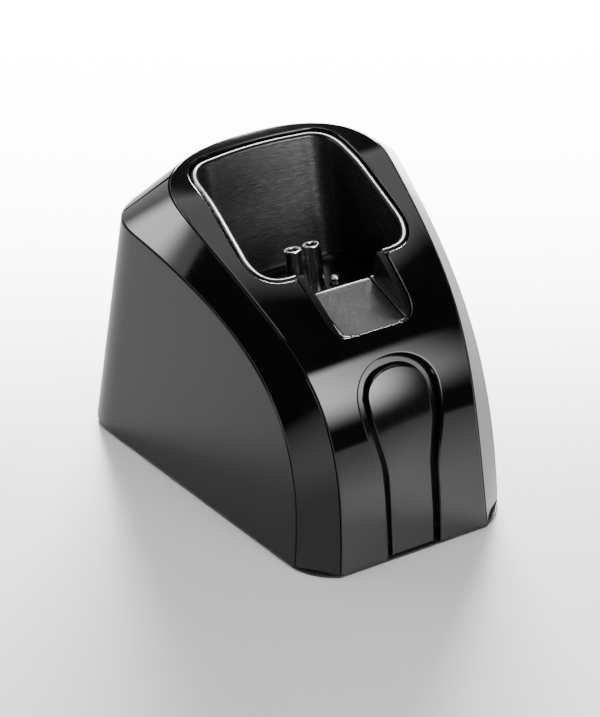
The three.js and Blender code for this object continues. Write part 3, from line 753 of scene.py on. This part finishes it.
def cup_rings(loop, out, inner, tops, half):
    """Rings up the inside of the cup, over its bead and down its outside."""
    count = len(loop)

    def ring(xy, z, side, up):
        normal = np.column_stack([out * side, np.full(count, up)])
        return np.column_stack([xy, z * np.ones(count)]), unit(normal)

    rings = []
    for angle in np.linspace(0, np.pi / 2, 8)[1:]:
        place = inner - out * WELL_FILLET * (1 - math.sin(angle))
        rings.append(ring(place, WELL_FILLET * (1 - math.cos(angle)), -math.sin(angle), math.cos(angle)))
    for share in (0.0, 0.25, 0.5, 0.75, 0.98):
        z = WELL_FILLET + (tops - WELL_FILLET) * share
        drawn_in = np.clip(WELL_DRAFT * (WELL_DEPTH - z), 0, None)[:, None]
        rings.append(ring(loop - out * (half + drawn_in), z, -1.0, WELL_DRAFT))
    for angle in np.linspace(np.pi, 0, 13):
        place = loop + out * half * math.cos(angle)
        rings.append(ring(place, tops + half * math.sin(angle), math.cos(angle), math.sin(angle)))
    rings.append(ring(loop + out * half, -WELL_FLOOR, 1.0, 0.0))
    return rings


def circle(x, y, radius, count):
    angles = np.linspace(0, 2 * np.pi, count, endpoint=False)
    return np.stack([x + radius * np.cos(angles), y + radius * np.sin(angles)], axis=1)


def one_slot(circles):
    """The outline round two circles that overlap, as one slot."""
    left, right = circles
    points = np.concatenate([left[left[:, 0] < -0.25], right[right[:, 0] > 0.25]])
    angles = np.arctan2(points[:, 1], points[:, 0])
    return points[np.argsort(angles)]


def tray_shape():
    """The notch's tray: a sloping ledge with a narrow rail and slot along each side."""
    low_y, high_y = NOTCH_FRONT + GAP, TRAY_REAR
    ys = np.concatenate([low_y + (NOTCH_CORNER + 1) * np.linspace(0, 1, 14) ** 2, np.linspace(low_y + 7, high_y, 12)])
    outline = notch_half(GAP)
    sections = []
    for y in ys:
        half = float(np.interp(y, outline[:, 1], outline[:, 0]))
        s = panel_distance(half, depth, y)
        lift = max(panel(np.array([half]), np.array([s]))[0, 2] - RIM_DROP - tray_z(y), 0.25)
        sections.append(tray_section(half, lift) + np.array([0, tray_z(y)]))
    sections = np.array(sections)
    places = np.repeat(ys[:, None], sections.shape[1], axis=1)
    points = np.stack([sections[..., 0], places, sections[..., 1]], axis=-1)
    return swept(points)


def smooth_rim(cup):
    """The rim and the floor are plain; only the upright walls are brushed."""
    cup.data.materials.append(RIM)
    for face in cup.data.polygons:
        if abs(face.normal.dot(Vector(WELL_AXIS))) > 0.25:
            face.material_index = 1


def darken_rails(tray):
    """The walls beside the ledge are in the well's own black."""
    tray.data.materials.append(RIM)
    for face in tray.data.polygons:
        beside = abs(face.center.x) > (TRAY_FLOOR_HALF - 0.1) * MM
        if beside or abs(face.normal.z) < 0.6:
            face.material_index = 1


def tray_section(half, lift):
    """One cross-section of the tray, level with its ledge, from the right rail's foot round to the left's."""
    ledge = min(8.3, half - 1.6)
    rail = min(8.75, half - 1.2)
    wall_foot = min(TRAY_FLOOR_HALF, half - 0.7)
    wall_top = min(wall_foot + (TRAY_TOP_HALF - TRAY_FLOOR_HALF) * lift / 12.0, half - 0.3)
    right = [
        (half, -TRAY_THICK), (half, lift), (wall_top, lift), (wall_foot, 0.25), (rail, 0.25), (rail, -0.4),
        (ledge, -0.4), (ledge, 0.0), (ledge * 0.5, 0.0),
    ]
    left = [(-x, z) for x, z in right[::-1]]
    return np.array(right + left)


def swept(points):
    """A closed shape from cross-sections (stations x points x 3), with plain face shading."""
    stations, count = points.shape[:2]
    faces = []
    for k in range(stations - 1):
        faces += quads(np.arange(count) + k * count, np.arange(count) + (k + 1) * count)
    faces.append(list(range(count)))
    faces.append(list(range((stations - 1) * count, stations * count)))
    return points.reshape(-1, 3), None, faces


# ---------------------------------------------------------------- turned parts
def rounded_profile(corners, radius, steps=5):
    """A profile of (radius, height) with each inner corner rounded: points and outward normals."""
    corners = np.array(corners, float)
    points, normals = [], []
    for k, corner in enumerate(corners):
        if k in (0, len(corners) - 1):
            near = corners[1] if k == 0 else corners[-2]
            way = unit(near - corner) * (1 if k == 0 else -1)
            points.append(corner)
            normals.append([way[1], -way[0]])
            continue
        before, after = corner - corners[k - 1], corners[k + 1] - corner
        cut = min(radius, 0.45 * np.linalg.norm(before), 0.45 * np.linalg.norm(after))
        a, c = corner - unit(before) * cut, corner + unit(after) * cut
        for t in np.linspace(0, 1, steps + 1):
            points.append((1 - t) ** 2 * a + 2 * t * (1 - t) * corner + t**2 * c)
            way = unit((1 - t) * (corner - a) + t * (c - corner))
            normals.append([way[1], -way[0]])
    return np.array(points), np.array(normals)


def turned(corners, radius, sides=56):
    """A closed turned shape about Z from a profile that starts and ends on the axis."""
    profile, profile_normals = rounded_profile(corners, radius)
    profile, profile_normals = profile[1:-1], profile_normals[1:-1]
    angles = np.linspace(0, 2 * np.pi, sides, endpoint=False)
    round_x, round_y = np.cos(angles), np.sin(angles)
    rings = []
    for (r, z), (nr, nz) in zip(profile, profile_normals):
        points = np.column_stack([r * round_x, r * round_y, np.full(sides, z)])
        rings.append((points, np.column_stack([nr * round_x, nr * round_y, np.full(sides, nz)])))
    points = [ring for ring, _ in rings]
    normals = [ring for _, ring in rings]
    faces = []
    for k in range(len(rings) - 1):
        start = np.arange(sides) + k * sides
        faces += quads(start, start + sides)
    total = len(rings) * sides
    for ring_index, z, corner in ((0, corners[0][1], 0), (len(rings) - 1, corners[-1][1], -1)):
        way = 1.0 if profile_normals[corner][1] > 0 else -1.0
        points.append(np.array([[0.0, 0.0, z]]))
        normals.append(np.array([[0.0, 0.0, way]]))
        ring = np.arange(sides) + ring_index * sides
        faces += [[int(a), int(b), total] for a, b in zip(ring, np.roll(ring, -1))]
        total += 1
    return np.concatenate(points), np.concatenate(normals), faces


def moved(shape, x, y, z=0.0):
    return shape[0] + np.array([x, y, z]), shape[1], shape[2]


def in_well(shape):
    return from_well(shape[0]), turn_from_well(shape[1]), shape[2]


def contact_shape(side):
    """A plated barrel with a blind bore in its tip, and its stop tab under the well's floor."""
    barrel = turned(
        [
            (0, CONTACT_BOTTOM), (CONTACT_R, CONTACT_BOTTOM), (CONTACT_R, CONTACT_TOP),
            (CONTACT_BORE, CONTACT_TOP), (CONTACT_BORE, CONTACT_TOP - 5.2), (0, CONTACT_TOP - 5.6),
        ],
        0.42,
    )
    tab_top = -WELL_FLOOR - GAP
    near, far = sorted((side * (CONTACT_R - 1.0), side * (CONTACT_R + 0.9)))
    tab = box_shape((near, -0.8, tab_top - 1.1), (far, 0.8, tab_top))
    return in_well(moved(joined(barrel, tab), side * CONTACT_X, 0))


def box_shape(low, high):
    """A plain block with slightly broken edges, flat-shaded."""
    low, high = np.array(low, float), np.array(high, float)
    size = high - low
    break_edge = min(0.12, 0.2 * size.min())
    work = bmesh.new()
    bmesh.ops.create_cube(work, size=1.0)
    bmesh.ops.scale(work, vec=Vector(size), verts=work.verts)
    bmesh.ops.translate(work, vec=Vector((low + high) / 2), verts=work.verts)
    bmesh.ops.bevel(work, geom=work.edges[:], offset=break_edge, segments=2, affect="EDGES", profile=0.6)
    points, normals, faces = [], [], []
    for face in work.faces:
        start = len(points)
        points += [tuple(loop.vert.co) for loop in face.loops]
        normals += [tuple(face.normal)] * len(face.loops)
        faces.append(list(range(start, len(points))))
    work.free()
    return np.array(points), np.array(normals), faces


def plunger_shape():
    tab_top = -WELL_FLOOR - GAP
    cap = [(SENSE_R * math.cos(a), SENSE_TOP - SENSE_R * 0.75 * (1 - math.sin(a))) for a in np.linspace(0, 1.45, 7)]
    stem = turned([(0, CONTACT_BOTTOM), (SENSE_R, CONTACT_BOTTOM), *cap, (0, SENSE_TOP)], 0.2, 40)
    tab = box_shape((SENSE_R - 0.6, -0.6, tab_top - 1.0), (SENSE_R + 1.1, 0.6, tab_top))
    return in_well(moved(joined(stem, tab), SENSE_X, SENSE_Y))


def coil_shape(radius, x, y):
    """A coil spring between the board and the foot of a contact."""
    turn = np.linspace(0, 2 * np.pi * SPRING_TURNS, SPRING_TURNS * 24 + 1)
    flat = 0 * turn
    out = np.stack([np.cos(turn), np.sin(turn), flat], axis=1)[:, None, :]
    middle = np.stack([flat, flat, np.linspace(SPRING_LOW, SPRING_HIGH, len(turn))], axis=1)[:, None, :]
    around = np.linspace(0, 2 * np.pi, 12, endpoint=False)[None, :, None]
    ring = np.cos(around) * out + np.sin(around) * np.array([0.0, 0.0, 1.0])
    points, _, faces = swept(middle + out * radius + ring * SPRING_WIRE)
    return in_well(moved((points, ring.reshape(-1, 3), faces), x, y))


def add_spring(word, radius, x, y):
    """A coil spring with a mesh of its own, in place of the frame's spring."""
    coil = piece(f"coil_{word}", coil_shape(radius, x, y), SPRING_STEEL, stands_for=[f"spring_{word}"])
    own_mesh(coil)


# ---------------------------------------------------------------- underside and inlet
def base_outline(scale, bulge):
    """The base's outline, with its front chamfers rounded out by a bulge."""
    front = np.array(CREST_FLANK[0][:2], float)
    corner = np.array([SIDE_X, SIDE_Y])
    t = np.linspace(0, 1, 16)[:, None]
    lift = bulge * np.sin(np.pi * t) / math.sqrt(2)
    chamfer = front + (corner - front) * t + lift * np.array([1.0, -1.0])
    rear = np.array(bezier(BASE_REAR, 120))[:, :2]
    side = np.array([corner, rear[0]])
    half = chain(np.array([(0, front[1]), front]), chamfer, evenly(side, 2.0), rear)
    whole = chain(half, mirrored(half)[::-1])[:-1]
    whole = evenly(np.concatenate([whole, whole[:1]]), 0.9)[:-1]
    return anticlockwise(whole) * scale


def base_shape():
    """The base plate: a thin rounded rim under the casing and a plug inside it."""
    outer = base_outline(1.0, BASE_BULGE)
    outer = outer * (1 - 0.25 / 53.0)
    plug = outer * BASE_PLUG
    radius = 0.24
    inner = shifted(outer, radius)
    foot_holes = [circle(*middle_of(f"foot_{k}"), FOOT_R + GAP, 48) for k in range(1, 5)]
    screw_holes = [circle(*middle_of(f"base_screw_{k}"), SCREW_HOLE_R, 32) for k in range(1, 5)]
    holes = foot_holes + screw_holes
    flat, faces, (rim, *hole_rims) = fill([inner, *[shifted(hole, -0.2) for hole in holes]], 2.2)
    points = np.column_stack([flat, np.full(len(flat), BASE_LOW)])
    normals = np.tile([0.0, 0.0, -1.0], (len(flat), 1))
    at = lambda loop, z: np.column_stack([loop, np.full(len(loop), z)])
    up = np.tile([0.0, 0.0, 1.0], (len(outer), 1))
    rings = rolled(points[rim], at(outer, BASE_LOW), at(outer, BASE_LOW + radius), 4, normals[rim])
    side = rings[-1][1]
    rings += [(at(outer, BASE_RIM_TOP - 0.1), side), (at(shifted(outer, 0.1), BASE_RIM_TOP), up)]
    rings += [(at(plug, BASE_RIM_TOP), up), (at(plug, BASE_TOP), side)]
    rims = [(rim, rings)]
    for hole, ring in zip(holes, hole_rims):
        rise = np.tile([0.0, 0.0, 1.0], (len(hole), 1))
        rims.append((ring, edge_rings(points[ring], at(hole, BASE_LOW), rise, 0.2, BASE_TOP - BASE_LOW, normals[ring], 3)))
    back = points * [BASE_PLUG, BASE_PLUG, 0] + [0, 0, BASE_TOP]
    for hole, ring in zip(holes, hole_rims):
        back[ring] = at(hole, BASE_TOP)
    return closed_mesh(points, normals, faces, rims, back)


def middle_of(node):
    low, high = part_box(node)
    return (low.x + high.x) / 2 / MM, (low.y + high.y) / 2 / MM


def foot_shape(node):
    """A soft foot with a shallow ring pressed into its underside."""
    profile = [
        (0, 0.12), (3.1, 0.12), (3.25, 0.4), (3.7, 0.4), (3.85, 0.0), (FOOT_R - 0.15, 0.0), (FOOT_R, FOOT_HEIGHT),
        (0, FOOT_HEIGHT),
    ]
    return moved(turned(profile, 0.22, 64), *middle_of(node))


def inlet_shape():
    """The inlet: a round socket nose through the rear wall on a block inside."""
    low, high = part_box("inlet_housing")
    front, body = low.y / MM, (high.x - low.x) / MM
    block = box_shape((-body / 2, front, INLET_Z - body / 2), (body / 2, 47.2, INLET_Z + body / 2))
    profile = [
        (0, 47.0), (INLET_NOSE, 47.0), (INLET_NOSE, INLET_END), (INLET_BORE + 0.35, INLET_END),
        (INLET_BORE, INLET_END - 0.5), (INLET_BORE, 47.25), (0, 47.25),
    ]
    points, normals, faces = turned(profile, 0.2, 64)
    turn = lambda v: np.stack([v[:, 0], v[:, 2], -v[:, 1]], axis=1)
    nose = turn(points) + [0, 0, INLET_Z], turn(normals), faces
    return joined(block, nose)


# ---------------------------------------------------------------- finishes
def finish_nodes(name):
    material = bpy.data.materials.new(name)
    material.use_nodes = True
    nodes, links = material.node_tree.nodes, material.node_tree.links
    return material, nodes, links, nodes["Principled BSDF"]


def noise(nodes, links, coordinates, scale, detail=4.0, stretch=(1.0, 1.0, 1.0)):
    mapping = nodes.new("ShaderNodeMapping")
    mapping.inputs["Scale"].default_value = stretch
    texture = nodes.new("ShaderNodeTexNoise")
    texture.inputs["Scale"].default_value = scale
    texture.inputs["Detail"].default_value = detail
    links.new(coordinates.outputs["Object"], mapping.inputs["Vector"])
    links.new(mapping.outputs["Vector"], texture.inputs["Vector"])
    return texture.outputs["Fac"]


def ranged(nodes, links, source, low, high, source_low=0.3, source_high=0.7):
    spread = nodes.new("ShaderNodeMapRange")
    spread.inputs["From Min"].default_value = source_low
    spread.inputs["From Max"].default_value = source_high
    spread.inputs["To Min"].default_value = low
    spread.inputs["To Max"].default_value = high
    links.new(source, spread.inputs["Value"])
    return spread.outputs["Result"]


def ramp(nodes, links, factor, dark, light):
    mix = nodes.new("ShaderNodeMix")
    mix.data_type = "RGBA"
    mix.inputs["A"].default_value = (*dark, 1.0)
    mix.inputs["B"].default_value = (*light, 1.0)
    links.new(factor, mix.inputs["Factor"])
    return mix.outputs["Result"]


def surface(name, dark, light, rough, grain_scale, bump, metallic=0.0, stretch=(1, 1, 1), wear=0.0, ior=1.5, coat=0.0):
    """A finish with mottled colour, uneven roughness, a fine bump and worn edges."""
    material, nodes, links, shader = finish_nodes(name)
    coordinates = nodes.new("ShaderNodeTexCoord")
    broad = noise(nodes, links, coordinates, 60.0, 3.0)
    fine = noise(nodes, links, coordinates, grain_scale, 5.0, stretch)
    pointed = nodes.new("ShaderNodeNewGeometry").outputs["Pointiness"]
    edge = ranged(nodes, links, pointed, 0.0, wear, 0.52, 0.62)
    colour = ramp(nodes, links, ranged(nodes, links, broad, 0.0, 1.0), dark, light)
    worn = nodes.new("ShaderNodeMix")
    worn.data_type = "RGBA"
    worn.inputs["B"].default_value = (*[min(1.0, channel * 3 + 0.02) for channel in light], 1.0)
    links.new(edge, worn.inputs["Factor"])
    links.new(colour, worn.inputs["A"])
    links.new(worn.outputs["Result"], shader.inputs["Base Color"])
    links.new(ranged(nodes, links, fine, rough * 0.85, rough * 1.15), shader.inputs["Roughness"])
    bumped = nodes.new("ShaderNodeBump")
    bumped.inputs["Strength"].default_value = bump
    bumped.inputs["Distance"].default_value = 0.00005
    links.new(fine, bumped.inputs["Height"])
    links.new(bumped.outputs["Normal"], shader.inputs["Normal"])
    shader.inputs["Metallic"].default_value = metallic
    shader.inputs["IOR"].default_value = ior
    shader.inputs["Coat Weight"].default_value = coat
    shader.inputs["Coat Roughness"].default_value = 0.03
    return material


GLOSS = surface("gloss_black", (0.0012, 0.0012, 0.0014), (0.002, 0.002, 0.0022), 0.05, 900, 0.02, wear=0.1, ior=1.5)
TONGUE_GLOSS = surface("tongue_gloss", (0.002, 0.002, 0.0022), (0.003, 0.003, 0.0033), 0.12, 900, 0.02, wear=0.1, ior=1.5)
SATIN = surface("satin_black", (0.003, 0.003, 0.0033), (0.005, 0.005, 0.0054), 0.18, 2600, 0.05, wear=0.15, ior=1.25)
LINER = surface("liner_black", (0.003, 0.003, 0.0033), (0.005, 0.005, 0.0055), 0.26, 9000, 0.55,
                stretch=(0.03, 0.03, 1.0), wear=0.1, ior=1.85)
RIM = surface("rim_black", (0.002, 0.002, 0.0022), (0.003, 0.003, 0.0033), 0.3, 1400, 0.02, wear=0.1, ior=1.22)
TRAY = surface("tray_grey", (0.006, 0.006, 0.0065), (0.009, 0.009, 0.0095), 0.18, 1500, 0.04, wear=0.1, ior=1.45)
BASE_BLACK = surface("base_black", (0.006, 0.006, 0.0065), (0.01, 0.01, 0.011), 0.3, 2400, 0.12)
NICKEL = surface("nickel", (0.62, 0.61, 0.6), (0.72, 0.71, 0.69), 0.14, 1800, 0.05, metallic=1.0, stretch=(1, 1, 0.1))
INSULATOR = surface("insulator", (0.016, 0.016, 0.018), (0.024, 0.024, 0.026), 0.5, 2000, 0.15)
SPRING_STEEL = surface("spring_steel", (0.42, 0.42, 0.43), (0.5, 0.5, 0.51), 0.3, 2500, 0.1, metallic=1.0)
SCREW_STEEL = surface("screw_steel", (0.3, 0.3, 0.31), (0.4, 0.4, 0.41), 0.34, 1800, 0.12, metallic=1.0, wear=0.3)
BOARD_GREEN = surface("board_green", (0.01, 0.07, 0.025), (0.014, 0.1, 0.035), 0.4, 1200, 0.1, coat=0.4)
LEAD_RED = surface("lead_red", (0.24, 0.012, 0.01), (0.32, 0.02, 0.016), 0.45, 1600, 0.1)
LEAD_BLACK = surface("lead_black", (0.008, 0.008, 0.008), (0.014, 0.014, 0.014), 0.45, 1600, 0.1)
BALLAST_STEEL = surface("ballast_steel", (0.2, 0.19, 0.18), (0.32, 0.31, 0.3), 0.5, 700, 0.25, metallic=1.0, wear=0.3)
FOOT_RUBBER = surface("foot_rubber", (0.01, 0.01, 0.01), (0.02, 0.02, 0.02), 0.75, 1500, 0.35)

NODE_FINISHES = {
    "contact_carrier": INSULATOR, "circuit_board": BOARD_GREEN, "ballast_plate": BALLAST_STEEL,
    "spring_left": SPRING_STEEL, "spring_right": SPRING_STEEL, "spring_sense": SPRING_STEEL,
    "board_screw_left": SCREW_STEEL, "board_screw_right": SCREW_STEEL,
    "base_screw_1": SCREW_STEEL, "base_screw_2": SCREW_STEEL, "base_screw_3": SCREW_STEEL, "base_screw_4": SCREW_STEEL,
    "inlet_pin": NICKEL, "inlet_leaf": NICKEL, "inner_lead_positive": LEAD_RED, "inner_lead_negative": LEAD_BLACK,
}


def finish_frame_nodes():
    """Gives each kept CAD node its finish from the table."""
    for node, finish in NODE_FINISHES.items():
        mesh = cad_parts[node].data
        mesh.materials.clear()
        mesh.materials.append(finish)


# ---------------------------------------------------------------- studio
CAMERA_PLACE = Vector((-0.31194, -0.55829, 0.47400))
CAMERA_AXES = (
    Vector((0.875625, -0.482992, 0.0)),
    Vector((0.276344, 0.500989, 0.820149)),
    Vector((-0.396125, -0.718143, 0.572151)),
)
LENS_MM = 150.63
LIGHT_TARGET = Vector((0.0, 0.0, 0.04))


def add_camera():
    data = bpy.data.cameras.new("camera")
    data.lens = LENS_MM
    data.sensor_width = 36.0
    data.clip_start, data.clip_end = 0.05, 20.0
    camera = bpy.data.objects.new("camera", data)
    bpy.context.scene.collection.objects.link(camera)
    turn = Matrix((CAMERA_AXES[0], CAMERA_AXES[1], CAMERA_AXES[2])).transposed()
    camera.matrix_world = Matrix.Translation(CAMERA_PLACE) @ turn.to_4x4()
    bpy.context.scene.camera = camera


def softbox(name, azimuth, elevation, distance, width, tall, radiance, fades=(0, 0, 0, 0)):
    """A soft rectangular light facing the stand. Azimuth 0 is behind the stand and 90 to its right.
    The fades are the shares of its face over which it dims towards each edge: both sides, foot and top."""
    a, e = math.radians(azimuth), math.radians(elevation)
    way = Vector((math.sin(a) * math.cos(e), math.cos(a) * math.cos(e), math.sin(e)))
    data = bpy.data.lights.new(name, "AREA")
    data.shape = "RECTANGLE"
    data.size, data.size_y = width, tall
    data.energy = radiance * math.pi * width * tall
    lamp = bpy.data.objects.new(name, data)
    bpy.context.scene.collection.objects.link(lamp)
    lamp.location = way * distance + LIGHT_TARGET
    lamp.rotation_euler = way.to_track_quat("Z", "Y").to_euler()
    if any(fades):
        fade_light(data, fades)


def fade_light(data, fades):
    """Dims a light's face towards its edges."""
    data.use_nodes = True
    nodes, links = data.node_tree.nodes, data.node_tree.links
    place = nodes.new("ShaderNodeSeparateXYZ")
    links.new(nodes.new("ShaderNodeNewGeometry").outputs["Parametric"], place.inputs[0])
    strength = None
    for axis, (low, high) in (("X", fades[:2]), ("Y", fades[2:])):
        for share, edge, inner in ((low, 0.0, low), (high, 1.0, 1.0 - high)):
            if not share:
                continue
            fade = nodes.new("ShaderNodeMapRange")
            fade.interpolation_type = "SMOOTHSTEP"
            fade.inputs["From Min"].default_value = edge
            fade.inputs["From Max"].default_value = inner
            links.new(place.outputs[axis], fade.inputs["Value"])
            strength = multiplied(nodes, links, strength, fade.outputs["Result"])
    links.new(strength, nodes["Emission"].inputs["Strength"])


def multiplied(nodes, links, first, second):
    if first is None:
        return second
    product = nodes.new("ShaderNodeMath")
    product.operation = "MULTIPLY"
    links.new(first, product.inputs[0])
    links.new(second, product.inputs[1])
    return product.outputs[0]


def add_floor():
    work = bmesh.new()
    bmesh.ops.create_grid(work, x_segments=8, y_segments=8, size=3.0)
    mesh = bpy.data.meshes.new("studio_floor")
    work.to_mesh(mesh)
    work.free()
    floor = bpy.data.objects.new("studio_floor", mesh)
    bpy.context.scene.collection.objects.link(floor)
    material, nodes, links, shader = finish_nodes("studio_white")
    shader.inputs["Base Color"].default_value = (0.5, 0.5, 0.5, 1.0)
    shader.inputs["Roughness"].default_value = 0.2
    shader.inputs["IOR"].default_value = 1.48
    mesh.materials.append(material)


def add_world(strength):
    world = bpy.data.worlds.new("studio")
    world.use_nodes = True
    background = world.node_tree.nodes["Background"]
    background.inputs["Color"].default_value = (1.0, 1.0, 1.0, 1.0)
    background.inputs["Strength"].default_value = strength
    bpy.context.scene.world = world


# ---------------------------------------------------------------- the scene
add_camera()
add_floor()
add_world(0.006)
softbox("front_box", 164, 30, 1.1, 1.0, 0.92, 19.0, (0.1, 0.7, 0.5, 0.15))
softbox("right_box", 112, 22, 1.1, 0.36, 0.5, 1.6)
softbox("left_box", -35, 16, 1.14, 1.5, 0.54, 1.4)
softbox("left_core", -46, 20, 1.1, 0.88, 0.4, 12.0, (0.7, 0.1, 0.4, 0.1))
softbox("rear_box", -18, 46, 1.2, 0.35, 0.3, 6.0, (0.2, 0.2, 0.2, 0.2))
softbox("back_low", 29, 24, 1.5, 0.9, 0.5, 170.0, (0.15, 0.15, 0.15, 0.25))
softbox("back_panel", 28, 60, 1.7, 1.5, 1.1, 1.7, (0.1, 0.4, 0.2, 0.3))
softbox("top_box", -90, 84, 1.2, 0.6, 0.6, 4.0)
finish_frame_nodes()

piece("panel_skin", panel_shape(), GLOSS, stands_for=["fascia"])
piece("chamfer_skin", bezel_shape(), GLOSS, stands_for=["bezel_band"])
piece("wall_skin", housing_shape(), SATIN, stands_for=["main_housing"])
piece("tongue_skin", tongue_shape(), TONGUE_GLOSS, stands_for=["front_tongue"])
smooth_rim(piece("well_cup", cup_shape(), LINER, stands_for=["cradle_well"]))
darken_rails(piece("tray_ledge", tray_shape(), TRAY, stands_for=["notch_tray"]))
piece("base_tray", base_shape(), BASE_BLACK, stands_for=["base_plate"])
for side, word in ((-1, "left"), (1, "right")):
    piece(f"barrel_{word}", contact_shape(side), NICKEL, body=f"contact_{word}", stands_for=[f"contact_{word}"])
piece("plunger_pin", plunger_shape(), NICKEL, body="sense_plunger", stands_for=["sense_plunger"])
add_spring("left", SPRING_R, -CONTACT_X, 0)
add_spring("right", SPRING_R, CONTACT_X, 0)
add_spring("sense", SENSE_SPRING_R, SENSE_X, SENSE_Y)
for number in range(1, 5):
    node = f"foot_{number}"
    piece(f"soft_{node}", foot_shape(node), FOOT_RUBBER, stands_for=[node])
piece("inlet_socket", inlet_shape(), INSULATOR, stands_for=["inlet_housing"])
